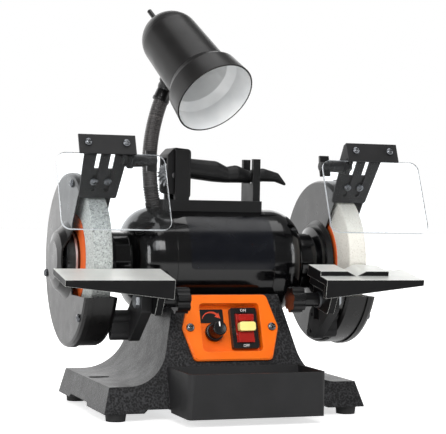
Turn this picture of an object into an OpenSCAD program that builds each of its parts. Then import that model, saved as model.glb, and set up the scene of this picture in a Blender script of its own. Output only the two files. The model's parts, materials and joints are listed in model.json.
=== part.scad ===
// Bench grinder with water tray, eye shields, tool rests, gooseneck lamp and wheel dresser.
// Millimetres, +Z up, +X along the spindle to the right, -Y towards the user.
// The origin is midway between the two bench slots, on the underside of the base casting.

/* [Base] */
// Front edge of the underside, in front of the spindle line
base_front = 94; // [92:1:100]
// Rear edge of the underside, behind the spindle line
base_back = 88; // [84:1:96]
// Height of the flat feet of the casting
leg_h = 25; // [22:1:30]
// How far the end faces lean in over the height of the feet
leg_draft = 7; // [4:0.5:9]
// Half width of the pedestal at its top
ped_half = 56; // [54:1:60]
// Half width gained per millimetre down the pedestal
ped_lean = 0.246; // [0.2:0.01:0.28]
// Radius of the sweep from the pedestal down to the feet
sweep_r = 42; // [34:1:46]
// Wall of the casting
cast_wall = 7; // [5:0.5:8]
// Distance between the bench slots, centre to centre
slot_span = 234; // [228:1:244]
// From the middle of a bench slot to the end of the base
slot_end = 20; // [16:1:28]
// Length of a bench slot, end to end
slot_len = 22; // [18:1:24]
// Width of a bench slot
slot_w = 11; // [8:0.5:12]
// Diameter of a rubber foot
foot_d = 21; // [18:0.5:23]
// Height of a rubber foot below the casting
foot_h = 8; // [5:0.5:12]

/* [Motor] */
// Height of the spindle above the underside of the casting
spindle_z = 144; // [143:0.5:146]
// Outer diameter of the motor can
can_d = 110; // [108:0.5:111]
// Length of the plain tube of the can
can_len = 104; // [96:1:108]
// Wall of the can and of the end bells
can_wall = 3.5; // [2.5:0.25:4]
// Length of the cylindrical rim of each end bell
bell_rim = 10; // [8:0.5:12]
// Length of the rounded shoulder of each end bell
shoulder_len = 30; // [28:0.5:32]
// Diameter of the neck that carries each guard
neck_d = 59; // [56:0.5:62]
// Diameter of the spindle where the wheels sit
spindle_d = 12.7; // [12:0.1:13.5]
// Diameter of the spindle in its bearings
journal_d = 15; // [14.5:0.1:17]
// Outer diameter of a ball bearing
bearing_d = 35; // [32:0.5:38]
// Air gap between rotor and stator
air_gap = 0.4; // [0.3:0.05:0.6]

/* [Wheels and guards] */
// Diameter of a grinding wheel
wheel_d = 152.4; // [140:0.1:153]
// Thickness of a grinding wheel
wheel_t = 19.05; // [16:0.05:20]
// Distance between the middles of the wheels
wheel_span = 271; // [269:0.5:276]
// Diameter of the flanges that clamp a wheel
flange_d = 59; // [54:0.5:61]
// Diameter of the paper blotters
blotter_d = 92; // [80:1:98]
// From the rim of a wheel to the outside of its guard
guard_room = 11.8; // [10.8:0.1:15]
// Width of a guard over both side plates
guard_w = 33.5; // [32.5:0.5:35]
// Sheet thickness of the guards
guard_t = 1.5; // [1.2:0.1:1.8]
// Angle of the upper end of the guard opening, above level
open_up = 54; // [50:1:57]
// Depth of the level lower edge of the guard opening below the spindle
open_low = 33; // [31:0.5:36]
// Running gap between the wheel and the plates beside it
wheel_gap = 2.8; // [2:0.1:4]

/* [Shields] */
// Width of an eye shield
shield_w = 107; // [96:1:110]
// Height of an eye shield
shield_h = 77; // [66:1:80]
// Thickness of an eye shield
shield_t = 3; // [2:0.25:3.5]
// Lean of an eye shield, its top away from the user
shield_lean = 22; // [16:1:26]
// Width of the plate that carries a shield
carrier_w = 56; // [50:1:60]
// Width of a spark deflector at its top
deflector_w = 44; // [40:1:48]
// Sheet thickness of deflectors and carriers
plate_t = 2; // [1.6:0.1:2.4]

/* [Tool rests] */
// Width of a tool rest
rest_w = 107; // [98:1:110]
// Depth of a tool rest
rest_d = 49; // [44:1:52]
// Forward tilt of a tool rest
rest_tilt = 10; // [4:1:12]
// Gap between a rest and its wheel
rest_gap = 2.4; // [1.6:0.1:3.2]
// Diameter of a star knob
star_d = 27; // [24:0.5:29]
// Diameter of a clamp bolt
clamp_d = 8; // [7:0.5:9]

/* [Front panel] */
// Width of the panel between its side points
panel_w = 102; // [98:1:106]
// Height of the panel along the slope
panel_h = 68; // [64:1:70]
// Width of the recess in the panel
well_w = 64; // [62:1:67]
// Height of the recess in the panel
well_h = 54; // [52:1:56]
// Depth of the recess below the panel face
well_deep = 10; // [8:0.5:11]
// Width of the switch housing
switch_w = 28; // [26:0.5:29]
// Height of the switch housing
switch_h = 42; // [40:0.5:44]
// Diameter of the speed knob
knob_d = 15; // [13:0.5:17]

/* [Water tray] */
// Length of the tray
tray_len = 140; // [120:1:144]
// Height of the tray
tray_h = 43; // [36:1:46]
// Reach of the tray in front of the casting, at its foot
tray_reach = 53; // [44:1:60]
// Wall of the tray
tray_wall = 2.4; // [1.8:0.1:3]

/* [Lamp and gooseneck] */
// Outer diameter of the gooseneck
neck_tube_d = 15.5; // [13:0.5:16]
// Radius of the bend of the gooseneck
neck_bend_r = 190; // [175:1:205]
// Outer diameter of the lamp shade at its rim
shade_d = 84; // [78:1:90]
// Diameter of the body of the shade
body_d = 64; // [60:1:66]
// Length of the shade from its rim to the middle of the dome
shade_len = 93.5; // [88:0.5:100]
// Wall of the shade
shade_t = 1.6; // [1.2:0.1:2]
// Bore of the bulb socket
bulb_d = 26.6; // [26:0.1:27]
// Depth of the bulb socket
bulb_deep = 20; // [16:1:21]

/* [Wheel dresser] */
// Length of the cradle on top of the can
cradle_len = 108; // [104:1:110]
// Depth of the cradle
cradle_d = 40; // [38:1:46]
// Width of the dresser head
head_w = 29; // [26:0.5:30]
// Diameter of the star cutters
cutter_d = 26; // [22:0.5:27]
// Number of star cutters
cutter_n = 5; // [3:1:5]

/* [Hidden] */
$fn = 64;
eps = 0.01;
// Clearance between pieces that are fixed to each other, and between pieces that move
seat = 0.1;
free = 0.3;
run_fit = 0.03;

// Colours
iron_c = [0.12, 0.12, 0.12];
gloss_c = [0.06, 0.06, 0.07];
sheet_c = [0.55, 0.54, 0.54];
steel_c = [0.75, 0.75, 0.77];
alu_c = [0.72, 0.73, 0.71];
orange_c = [0.95, 0.38, 0.05];
red_c = [0.8, 0.08, 0.05];
yellow_c = [0.95, 0.85, 0.15];
rubber_c = [0.08, 0.08, 0.08];
clear_c = [0.85, 0.9, 0.95, 0.35];

// ---------- shared helpers ----------

// Rounds each corner of an outline with an arc
function unit(v) = v / norm(v);
function corner(a, p, b, r, n) =
    let (u = unit(a - p), v = unit(b - p), half = acos(u * v) / 2, c = p + unit(u + v) * r / sin(half),
         s = p + u * r / tan(half) - c, e = p + v * r / tan(half) - c, a0 = atan2(s[1], s[0]),
         turn = atan2(s[0] * e[1] - s[1] * e[0], s * e))
    [for (i = [0 : n]) c + r * [cos(a0 + turn * i / n), sin(a0 + turn * i / n)]];
function rounded(pts, r, n = 6) =
    let (m = len(pts)) [for (i = [0 : m - 1]) each corner(pts[(i + m - 1) % m], pts[i], pts[(i + 1) % m],
        r, n)];
function box_pts(w, h) = [[-w / 2, -h / 2], [w / 2, -h / 2], [w / 2, h / 2], [-w / 2, h / 2]];

module block(w, d, h) translate([-w / 2, -d / 2, 0]) cube([w, d, h]);
module tube(r_out, r_in, h) difference() {
    cylinder(r = r_out, h = h);
    translate([0, 0, -1]) cylinder(r = r_in, h = h + 2);
}
module obround(l, w, h) {
    for (x = [-1, 1]) translate([x * (l - w) / 2, 0, 0]) cylinder(d = w, h = h);
    block(l - w, w, h);
}
// Turns a piece that is drawn along Z so that it runs along the spindle, from x0 outwards
module along_x(x0 = 0) translate([x0, 0, spindle_z]) rotate([0, 90, 0]) children();
// A flat outline in the (Y, height) plane, extruded along X from x0 over t
module side_plate(pts, x0, t) translate([x0, 0, 0]) rotate([90, 0, 90]) linear_extrude(t) polygon(pts);
module on_left(left) mirror([left ? 1 : 0, 0, 0]) children();

// ---------- derived sizes ----------

wheel_x = wheel_span / 2;
wheel_r = wheel_d / 2;
guard_r = wheel_r + guard_room;
can_r = can_d / 2;
bell_x = can_len / 2;
shoulder_x = bell_x + bell_rim;
neck_x = shoulder_x + shoulder_len;
neck_r = neck_d / 2;
blotter_t = 1;
wheel_in = wheel_x - wheel_t / 2;
wheel_out = wheel_x + wheel_t / 2;
flange_in_t = 4.5;
flange_in_x = wheel_in - blotter_t - flange_in_t;
flange_out_x = wheel_out + blotter_t;
flange_out_t = 13;
guard_x = wheel_in - wheel_gap - 2.2;
cover_x = guard_x + guard_w;
hub_r = 40;
hub_deep = 3.5;
lip_x = guard_x - hub_deep;
lip_r = 36.5;
lip_t = 4;
dome_h = 13;

// Front plane of the casting: it leans back at front_slope per millimetre of height
front_slope = 0.36;
front_tilt = atan(front_slope);
ped_top = spindle_z - 32;
ped_back = 50;
function front_y(z) = -base_front + front_slope * z;
function ped_w(z) = ped_half + ped_lean * (ped_top - z);
panel_z = ped_top - panel_h / 2 * cos(front_tilt) - 1;
// Panel frame: +X right, +Y up the slope, +Z straight out of the face
module on_panel() translate([0, front_y(panel_z), panel_z]) rotate([90 - front_tilt, 0, 0]) children();

// ---------- base ----------

base_len = slot_span + 2 * slot_end;
module front_outline() {
    lean_n = sqrt(1 + ped_lean * ped_lean);
    mid_z = leg_h + sweep_r;
    mid_x = ped_w(mid_z) + sweep_r * lean_n;
    touch = [mid_x - sweep_r / lean_n, mid_z - sweep_r * ped_lean / lean_n];
    polygon([[-base_len / 2, 0], [base_len / 2, 0], [base_len / 2 - leg_draft, leg_h],
        [-base_len / 2 + leg_draft, leg_h]]);
    polygon([[-ped_w(0), 0], [ped_w(0), 0], [ped_half, ped_top], [-ped_half, ped_top]]);
    for (s = [0, 1]) mirror([s, 0]) difference() {
        polygon([[mid_x, leg_h - 1], [mid_x, leg_h], [touch[0], touch[1]], [touch[0] - 8, touch[1]],
            [ped_w(leg_h) - 8, leg_h - 1]]);
        translate([mid_x, mid_z]) circle(r = sweep_r, $fn = 128);
    }
}
back_lean = (base_back - 2 - ped_back) / (ped_top - leg_h);
cavity_top = 78;
slot_pad = 6;
foot_x = base_len / 2 - 15;
// Shallow arches between the feet
arch_half = base_len / 2 - 39;
arch_front = 30;
arch_back = 44;
arch_slope = 5;
arch_h = 3.4;
foot_front = base_front - 13;
foot_back = base_back - 16;
foot_at = [for (x = [-1, 1], y = [-foot_front, foot_back]) [x * foot_x, y]];
stud_d = 6;
plate_w = 132;
plate_front = base_front - 12;
plate_back = base_back - 10;
plate_z = 0.5;
boss_x = plate_w / 2 - 10;
boss_at = [for (x = [-1, 1], y = [-plate_front + 10, plate_back - 9]) [x * boss_x, y]];
gland_z = 44;
gland_d = 16;
pocket_deep = 27;

module casting_hollow() {
    intersection() {
        rotate([90, 0, 0]) translate([0, 0, -200]) linear_extrude(400) {
            polygon([[-base_len / 2 + cast_wall + 1, -1], [base_len / 2 - cast_wall - 1, -1],
                [base_len / 2 - cast_wall - leg_draft, leg_h - cast_wall],
                [-base_len / 2 + cast_wall + leg_draft, leg_h - cast_wall]]);
            polygon([[-ped_w(0) + cast_wall, -1], [ped_w(0) - cast_wall, -1],
                [ped_w(cavity_top) - cast_wall, cavity_top], [-ped_w(cavity_top) + cast_wall, cavity_top]]);
        }
        side_plate([[front_y(0) + cast_wall + 0.5, -1], [base_back - cast_wall, -1],
            [base_back - 2 - cast_wall, leg_h - cast_wall],
            [base_back - 2 - cast_wall - back_lean * (cavity_top - leg_h), cavity_top],
            [front_y(cavity_top) + cast_wall + 0.5, cavity_top]], -200, 400);
    }
}
module base_casting() color(iron_c) difference() {
    intersection() {
        rotate([90, 0, 0]) translate([0, 0, -200]) linear_extrude(400) front_outline();
        side_plate([[front_y(0), 0], [base_back, 0], [base_back - 2, leg_h], [ped_back, ped_top],
            [front_y(ped_top), ped_top]], -200, 400);
    }
    difference() {
        casting_hollow();
        for (s = [-1, 1]) translate([s * slot_span / 2, 0, -2])
            obround(slot_len + 2 * slot_pad, slot_w + 2 * slot_pad, leg_h);
        for (p = foot_at) translate([p[0], p[1], -2]) cylinder(d = 18, h = leg_h);
        for (p = boss_at) translate([p[0], p[1], plate_z + plate_sheet + seat]) cylinder(d = 13, h = 50);
    }
    for (s = [-1, 1]) translate([s * slot_span / 2, 0, -1]) obround(slot_len, slot_w, leg_h + 2);
    for (p = foot_at) translate([p[0], p[1], -1]) cylinder(d = stud_d, h = 13);
    // Shallow arches between the feet, front and ends
    translate([0, -base_front, 0]) rotate([90, 0, 0]) translate([0, 0, -30])
        linear_extrude(60) polygon([[-arch_half, -1], [arch_half, -1], [arch_half - arch_slope, arch_h],
            [-arch_half + arch_slope, arch_h]]);
    rotate([90, 0, 90]) translate([0, 0, -200]) linear_extrude(400)
        polygon([[-arch_front, -1], [arch_back, -1], [arch_back - arch_slope, arch_h],
            [-arch_front + arch_slope, arch_h]]);
    // Saddle for the motor can
    along_x(-100) cylinder(r = can_r + seat, h = 200, $fn = 160);
    // Pocket behind the front panel, wire way to the motor and the hole of the cord gland
    on_panel() translate([0, 0, -pocket_deep]) block(well_w + 5, well_h + 1, pocket_deep + 10);
    translate([0, 0, cavity_top - 5]) cylinder(d = 14, h = 30);
    translate([40, base_back, gland_z]) rotate([90, 0, 0]) cylinder(d = gland_d + 2 * seat, h = 60);
    for (s = [-1, 1]) on_panel() translate([s * screw_u, 0, -14]) cylinder(d = 4, h = 20);
    for (s = [-1, 1]) at_tongue(s) translate([0, 0, -tongue_len - 4])
        block(tongue_w + 2 * free, tongue_t + 2 * free, tongue_len + 8);
}
plate_sheet = 1.6;
module rubber_feet() color(rubber_c) for (p = foot_at) translate([p[0], p[1], 0]) {
    translate([0, 0, -foot_h]) cylinder(d1 = foot_d - 2, d2 = foot_d, h = foot_h, $fn = 64);
    translate([0, 0, -1]) cylinder(d = stud_d, h = 12);
}
module bottom_plate() color(steel_c) difference() {
    translate([-plate_w / 2, -plate_front, plate_z]) cube([plate_w, plate_front + plate_back, plate_sheet]);
    translate([-plate_w / 2 - 1, -40, plate_z - 1]) cube([2, 90, 4]);
    for (p = boss_at) translate([p[0], p[1], 0]) cylinder(d = 4.4, h = 4);
    for (i = [-3 : 3]) translate([i * 14, 20, 0]) block(5, 44, 4);
}
module cord_gland() color(rubber_c) {
    y_wall = base_back - 2 - back_lean * (gland_z - leg_h);
    translate([40, y_wall + 4.4, gland_z]) rotate([90, 0, 0]) difference() {
        union() {
            cylinder(d = gland_d, h = 16);
            translate([0, 0, -8]) cylinder(d1 = 12, d2 = 19, h = 8);
        }
        translate([0, 0, -10]) cylinder(d = 8, h = 40);
    }
}
board_z = plate_z + plate_sheet + 8;
board_w = plate_w - 40;
board_d = 52;
board_leg_x = board_w / 2 - 6;
module control_board() color([0.1, 0.35, 0.15]) {
    translate([0, -8, board_z]) block(board_w, board_d, 1.6);
    for (x = [-board_leg_x, board_leg_x], y = [-28, 12]) translate([x, y, plate_z + plate_sheet])
        cylinder(d = 6, h = 9);
    translate([-24, -8, board_z + 1]) block(26, 34, 22);
    translate([12, 2, board_z + 1]) cylinder(d = 18, h = 26);
    translate([32, -20, board_z + 1]) block(12, 16, 10);
}

// ---------- water tray ----------

tray_gap = 0.4;
tray_flare = 1.8;
tray_corner_r = 7;
// Tongues of the tray and the sloping sockets in the casting that they drop into
tongue_x = 50;
tongue_z = 37;
tongue_w = 18;
tongue_t = 2.6;
tongue_len = 9;
tongue_root = 2;
module at_tongue(s) translate([s * tongue_x, front_y(tongue_z), tongue_z]) rotate([45, 0, 0]) children();
module tray_solid(inset, z0, z1) {
    foot_y = front_y(0) - tray_gap - inset;
    front = -base_front - tray_reach + inset;
    intersection() {
        side_plate([[front, z0], [foot_y + front_slope * z0, z0], [foot_y + front_slope * z1, z1],
            [front - tray_flare, z1]], -tray_len / 2 + inset, tray_len - 2 * inset);
        translate([0, front - tray_flare + tray_reach, z0 - 1]) linear_extrude(z1 + 2)
            polygon(rounded(box_pts(tray_len - 2 * inset, 2 * tray_reach), tray_corner_r - inset));
    }
}
module water_tray() color(gloss_c) {
    difference() {
        tray_solid(0, 0, tray_h);
        tray_solid(tray_wall, tray_wall, tray_h + 5);
    }
    for (s = [-1, 1]) at_tongue(s) translate([0, 0, -tongue_len]) block(tongue_w, tongue_t, tongue_len +
        tongue_root);
}

// ---------- front panel, speed control and switch ----------

panel_t = 4;
screw_u = 43.5;
well_floor = panel_t - well_deep;
floor_t = 2;
switch_u = 16;
knob_u = -15.5;
knob_v = -3;
dial_v = 14;
module panel_outline(grow = 0) polygon(rounded([[-panel_w * 0.402 - grow, -panel_h / 2 - grow],
    [panel_w * 0.402 + grow, -panel_h / 2 - grow], [panel_w / 2 + grow, 0],
    [panel_w * 0.402 + grow, panel_h / 2 + grow], [-panel_w * 0.402 - grow, panel_h / 2 + grow],
    [-panel_w / 2 - grow, 0]], 5));
module switch_panel() color(orange_c) on_panel() difference() {
    union() {
        translate([0, 0, seat]) linear_extrude(panel_t - 1 - seat) panel_outline();
        translate([0, 0, panel_t - 1 - eps]) linear_extrude(1) panel_outline(-1);
        translate([0, 0, well_floor - floor_t]) linear_extrude(well_deep)
            polygon(rounded(box_pts(well_w + 4, well_h - 0.6), 5));
    }
    translate([0, 0, well_floor]) linear_extrude(well_deep + 2)
        polygon(rounded(box_pts(well_w, well_h - 4), 4));
    translate([knob_u, knob_v, well_floor - 5]) cylinder(d = 8, h = 10);
    translate([switch_u, 0, well_floor - 5]) block(switch_w - 4 + 2 * seat, switch_h - 4 + 2 * seat, 10);
    for (s = [-1, 1]) translate([s * screw_u, 0, -1]) cylinder(d = 4.6, h = 10);
}
module panel_screws() color(gloss_c) for (s = [-1, 1]) on_panel() translate([s * screw_u, 0, 0]) {
    translate([0, 0, -10]) cylinder(d = 3.8, h = 10 + panel_t + 1);
    translate([0, 0, panel_t + seat]) rotate_extrude() intersection() {
        translate([0, -3]) circle(r = 5.4, $fn = 64);
        square([4.2, 4]);
    }
}
module dial_plate() color(gloss_c) on_panel() translate([knob_u - 2, dial_v, well_floor + 0.05])
    linear_extrude(0.6) polygon(rounded(box_pts(27, 14), 1));
knob_base = well_floor + free;
knob_h = 19;
module speed_pot() color(steel_c) on_panel() translate([knob_u, knob_v, 0]) {
    translate([0, 0, well_floor - floor_t - seat - 9]) cylinder(d = 17, h = 9);
    translate([0, 0, well_floor - floor_t - 1]) cylinder(d = 7.6, h = floor_t + 1 - 0.2);
    translate([0, 0, well_floor - 3]) cylinder(d = 6, h = 3 + 12);
}
module speed_knob() color(gloss_c) on_panel() translate([knob_u, knob_v, knob_base]) difference() {
    union() {
        cylinder(d = knob_d + 4, h = 4);
        cylinder(d = knob_d, h = knob_h - 1);
        cylinder(d = knob_d - 2, h = knob_h);
        for (i = [0 : 11]) rotate([0, 0, i * 30]) translate([knob_d / 2, 0, 1]) cylinder(r = 1.1, h =
            knob_h - 5);
    }
    translate([0, 0, -1]) cylinder(d = 6 + 2 * run_fit, h = 14);
    translate([0, knob_d / 2 - 2, knob_h - 1]) block(1.2, 5, 3);
}
rocker_r = 15.6;
rocker_w = 19;
rocker_z = well_floor + 1;
frame_h = 6;
module switch_housing() color(gloss_c) on_panel() translate([switch_u, 0, 0]) difference() {
    union() {
        translate([0, 0, well_floor + 0.05]) linear_extrude(frame_h)
            polygon(rounded(box_pts(switch_w, switch_h), 2));
        translate([0, 0, well_floor - 14]) block(switch_w - 4, switch_h - 4, 15);
    }
    translate([0, 0, rocker_z]) rotate([0, 90, 0]) translate([0, 0, -rocker_w / 2 - free])
        cylinder(r = rocker_r + free, h = rocker_w + 2 * free);
}
key_w = 17;
key_h = 9;
module rocker_side() difference() {
    circle(r = rocker_r, $fn = 96);
    translate([-30, 7]) square([60, 30]);
    translate([0, 31]) circle(r = 26, $fn = 96);
    translate([-30, -40]) square([60, 36]);
}
// The rocker rests with its lower half pressed in, and the key sits in it
rocker_rest = 8;
module on_rocker() on_panel() translate([switch_u, 0, rocker_z]) rotate([rocker_rest, 0, 0]) children();
module switch_paddle() color(red_c) on_rocker() difference() {
    union() {
        rotate([90, 0, 90]) translate([0, 0, -rocker_w / 2]) linear_extrude(rocker_w) rocker_side();
        translate([-rocker_w / 2 + 1.5, -rocker_r + 1.6, 0]) cube([rocker_w - 3, 10, 9]);
        translate([-rocker_w / 2 + 1.5, rocker_r - 8, 0]) cube([rocker_w - 3, 6.2, 9.5]);
    }
    translate([0, 1.5, -2]) block(9.4, 4.4, 12);
}
module safety_key() color(yellow_c) on_rocker() translate([0, 1.5, 0]) {
    translate([0, 0, 7.4]) linear_extrude(7) polygon(rounded(box_pts(key_w, key_h), 2.5));
    translate([0, 0, -1.6]) block(9, 4, 9.5);
}

// ---------- motor ----------

module motor_can() color(gloss_c) along_x(-can_len / 2) tube(can_r, can_r - can_wall, can_len, $fn = 160);
bolt_r = can_r - can_wall - 4.5;
bolt_d = 4;
bolt_angles = [45, 135, 225, 315];
stator_len = 62;
stator_r = can_r - can_wall - seat;
rotor_r = 28;
module stator() {
    color(steel_c) along_x(-stator_len / 2) difference() {
        cylinder(r = stator_r, h = stator_len);
        translate([0, 0, -1]) cylinder(r = rotor_r + air_gap, h = stator_len + 2);
        for (a = bolt_angles) rotate([0, 0, a]) translate([bolt_r, 0, -1]) cylinder(r = 3, h =
            stator_len + 2);
    }
    color([0.72, 0.4, 0.2]) for (s = [-1, 1]) along_x(s * (stator_len / 2 + 6.5) - 6.4) tube(42, 31, 12.8);
}
module rotor_core() color(steel_c) along_x(-stator_len / 2) tube(rotor_r, journal_d / 2 + 1 + seat,
    stator_len);
shaft_end = cover_x + 9.5;
bearing_t = 11;
bearing_x = neck_x - bearing_t - 1;
module spindle_shaft() color(steel_c) {
    along_x(-bearing_x + 2) cylinder(d = journal_d + 2, h = 2 * bearing_x - 4);
    along_x(-flange_in_x + 0.5) cylinder(d = journal_d, h = 2 * flange_in_x - 1);
    along_x(-shaft_end) cylinder(d = spindle_d, h = 2 * shaft_end, $fn = 96);
}
module bearings() color(steel_c) for (s = [-1, 1]) along_x(s * (bearing_x + bearing_t / 2) - bearing_t / 2)
    difference() {
        tube(bearing_d / 2, journal_d / 2 + run_fit, bearing_t);
        for (z = [-1, bearing_t - 1]) translate([0, 0, z]) tube(13.6, 10.6, 2);
    }
// End bell, drawn along Z from the can outwards
module bell_profile() {
    a = can_r - neck_r - 1.5;
    inner = can_r - can_wall;
    polygon(concat(
        [[inner, 0], [can_r, 0], [can_r, bell_rim]],
        [for (t = [6 : 6 : 90]) [neck_r + 1.5 + a * cos(t), bell_rim + shoulder_len * sin(t)]],
        [[neck_r, neck_x - bell_x + 2], [neck_r, lip_x - lip_t - 4 - bell_x], [lip_r, lip_x - lip_t -
            bell_x],
         [lip_r, lip_x - seat - bell_x], [16, lip_x - seat - bell_x], [16, neck_x - bell_x],
         [bearing_d / 2 + seat / 2, neck_x - bell_x], [bearing_d / 2 + seat / 2, bearing_x - bell_x],
         [bearing_d / 2 + 5, bearing_x - bell_x]],
        [for (t = [80 : -10 : 10]) [neck_r - 3 + (inner - neck_r + 3) * cos(t), bell_rim +
            (shoulder_len - 8) * sin(t)]],
        [[inner, bell_rim]]));
}
module end_bell() along_x(bell_x + seat / 2) difference() {
    rotate_extrude($fn = 160) bell_profile();
    for (a = bolt_angles) rotate([0, 0, a]) translate([bolt_r, 0, 0]) {
        translate([0, 0, -1]) cylinder(d = bolt_d + 0.4, h = 60);
        translate([0, 0, bolt_seat]) cylinder(r = 6.4, h = 40);
    }
}
bolt_seat = 17;
module bell_right() color(gloss_c) end_bell();
module bell_left() color(gloss_c) on_left(true) end_bell();
module through_bolts() color(steel_c) along_x(0) for (a = bolt_angles) rotate([0, 0, a])
    translate([bolt_r, 0, 0]) {
        reach = bell_x + bolt_seat + seat;
        translate([0, 0, -reach]) cylinder(d = bolt_d, h = 2 * reach);
        for (s = [-1, 1]) translate([0, 0, s * (reach + 1.5) - 1.5]) cylinder(d = 8.4, h = 3);
    }

// ---------- wheels ----------

module both_ends() for (s = [0, 1]) mirror([s, 0, 0]) children();
module wheel_flanges() color(gloss_c) both_ends() {
    along_x(flange_in_x) difference() {
        cylinder(d = flange_d, h = flange_in_t);
        translate([0, 0, -1]) cylinder(d = spindle_d + 2 * seat, h = flange_in_t + 2);
        translate([0, 0, flange_in_t - 1]) cylinder(d = flange_d - 16, h = 2);
    }
    along_x(flange_out_x) difference() {
        cylinder(d = flange_d, h = flange_out_t);
        translate([0, 0, -1]) cylinder(d = spindle_d + 2 * seat, h = flange_out_t + 2);
        translate([0, 0, -1]) cylinder(d = flange_d - 16, h = 2);
        translate([0, 0, 6]) cylinder(d1 = 34, d2 = flange_d - 8, h = flange_out_t);
    }
}
module arbor_nuts() color(steel_c) both_ends() along_x(flange_out_x + 6 + seat) difference() {
    union() {
        cylinder(d = 21.9, h = 9, $fn = 6);
        cylinder(d = 24, h = 1.6);
    }
    translate([0, 0, -1]) cylinder(d = spindle_d + 2 * seat, h = 12);
}
module blotters() color(orange_c) both_ends() for (x = [wheel_in - blotter_t, wheel_out])
    along_x(x) tube(blotter_d / 2, 8, blotter_t);
module wheel() along_x(wheel_in) difference() {
    union() {
        translate([0, 0, 1]) cylinder(d = wheel_d, h = wheel_t - 2, $fn = 160);
        cylinder(d1 = wheel_d - 2, d2 = wheel_d, h = 1, $fn = 160);
        translate([0, 0, wheel_t - 1]) cylinder(d1 = wheel_d, d2 = wheel_d - 2, h = 1, $fn = 160);
    }
    translate([0, 0, -1]) cylinder(d = spindle_d + 2 * seat, h = wheel_t + 2);
}
module wheel_white() color([0.93, 0.92, 0.87]) wheel();
module wheel_grey() color([0.55, 0.57, 0.56]) on_left(true) wheel();

// ---------- guards ----------

post_r = 2.6;
post_at = guard_r - 7.4;
open_reach = guard_r + 42;
cover_angles = [72, -42, -168];
module at_post(a) rotate([-a, 0, 0]) translate([0, -post_at, 0]) children();
// The opening at the front of a guard, as a prism along X
module guard_opening(x0, x1, hub) side_plate([
    [-hub * 0.62, hub * 0.9 + spindle_z],
    [-open_reach * cos(open_up), open_reach * sin(open_up) + spindle_z],
    [-open_reach, open_reach * sin(open_up) + spindle_z],
    [-open_reach, spindle_z - open_low],
    [-hub * 0.7, spindle_z - open_low]], x0, x1 - x0);
module radial_frame() translate([wheel_x, 0, spindle_z]) rotate([90 - open_up, 0, 0]) children();
lug_w = 26;
lug_top = guard_r + 24;
lug_screw_r = guard_r + 11;
lug_screw_x = 7;
cover_rim = 9;
band_end = cover_x - guard_t - 3 - seat;
post_end = cover_x - guard_t - seat;
module guard_shape() {
    difference() {
        along_x(0) rotate_extrude($fn = 160) polygon([
            [16, lip_x], [hub_r, lip_x], [hub_r + 4, guard_x], [guard_r - 4, guard_x],
            [guard_r - guard_t - seat - 1.2, guard_x + 1.2], [guard_r - guard_t - seat, guard_x + 4],
            [guard_r - guard_t - seat, band_end], [guard_r - 2 * guard_t - seat, band_end],
            [guard_r - 2 * guard_t - seat, guard_x + guard_t + 3], [guard_r - 7, guard_x + guard_t],
            [hub_r + 3.4, guard_x + guard_t], [hub_r - 0.6, lip_x + guard_t], [16, lip_x + guard_t]]);
        difference() {
            guard_opening(lip_x - 5, band_end + 5, hub_r);
            along_x(lip_x - 10) cylinder(r = hub_r + 4.2, h = 30);
        }
        for (a = [0, 120, 240]) translate([lip_x - 1, 0, spindle_z]) rotate([a, 0, 0])
            translate([0, -33, 0]) rotate([0, 90, 0]) cylinder(d = 4.4, h = 10);
    }
    // Posts for the cover screws
    translate([0, 0, spindle_z]) for (a = cover_angles) at_post(a) translate([guard_x + 0.5, 0, 0])
        rotate([0, 90, 0]) cylinder(r = post_r, h = post_end - guard_x - 0.5, $fn = 32);
    // Lug for the spark deflector
    radial_frame() difference() {
        union() {
            translate([-lug_w / 2, 0, guard_r + seat]) cube([lug_w, plate_t, lug_top - guard_r - seat]);
            translate([-lug_w / 2, 0, guard_r - 6])
                cube([cover_x - cover_rim - seat - wheel_x + lug_w / 2, plate_t, 7]);
        }
        for (x = [-1, 1]) translate([x * lug_screw_x, -1, lug_screw_r]) rotate([-90, 0, 0]) cylinder(d =
            5, h = 5);
    }
}
module cover_shape() difference() {
    along_x(0) rotate_extrude($fn = 160) polygon([
        [0, cover_x + dome_h], [20, cover_x + dome_h], [29, cover_x + dome_h - 3],
        [34, cover_x + 4], [39, cover_x], [guard_r - 4, cover_x], [guard_r - 1.2, cover_x - 1.2],
        [guard_r, cover_x - 4], [guard_r, cover_x - cover_rim], [guard_r - guard_t, cover_x - cover_rim],
        [guard_r - guard_t, cover_x - guard_t - 3], [guard_r - 4.6, cover_x - guard_t], [38, cover_x -
            guard_t],
        [32.6, cover_x + 3], [27.8, cover_x + dome_h - 4.2], [19.5, cover_x + dome_h - guard_t],
        [0, cover_x + dome_h - guard_t]]);
    guard_opening(cover_x - 20, cover_x + 30, hub_r);
    translate([0, 0, spindle_z]) for (a = cover_angles) at_post(a) translate([cover_x - 5, 0, 0])
        rotate([0, 90, 0]) cylinder(d = 4.4, h = 10);
}
module guard_right() color(sheet_c) guard_shape();
module guard_left() color(sheet_c) on_left(true) guard_shape();
module cover_right() color(sheet_c) cover_shape();
module cover_left() color(sheet_c) on_left(true) cover_shape();
module round_head(d, h) rotate_extrude() intersection() {
    translate([0, h - d * 0.7]) circle(r = d * 0.7, $fn = 64);
    square([d / 2, h + 1]);
}
module guard_screws() color(steel_c) both_ends() {
    translate([0, 0, spindle_z]) for (a = cover_angles) at_post(a) translate([cover_x + seat, 0, 0])
        rotate([0, 90, 0]) {
            round_head(8, 3);
            translate([0, 0, -guard_t - seat]) cylinder(d = 4, h = 3);
        }
    radial_frame() for (x = [-1, 1]) translate([x * lug_screw_x, -plate_t - seat, lug_screw_r])
        rotate([90, 0, 0]) {
            round_head(8.4, 3.4);
            translate([0, 0, -2 * plate_t - seat]) cylinder(d = 4, h = 2 * plate_t + seat + 1);
        }
}

// ---------- spark deflectors and eye shields ----------

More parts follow.
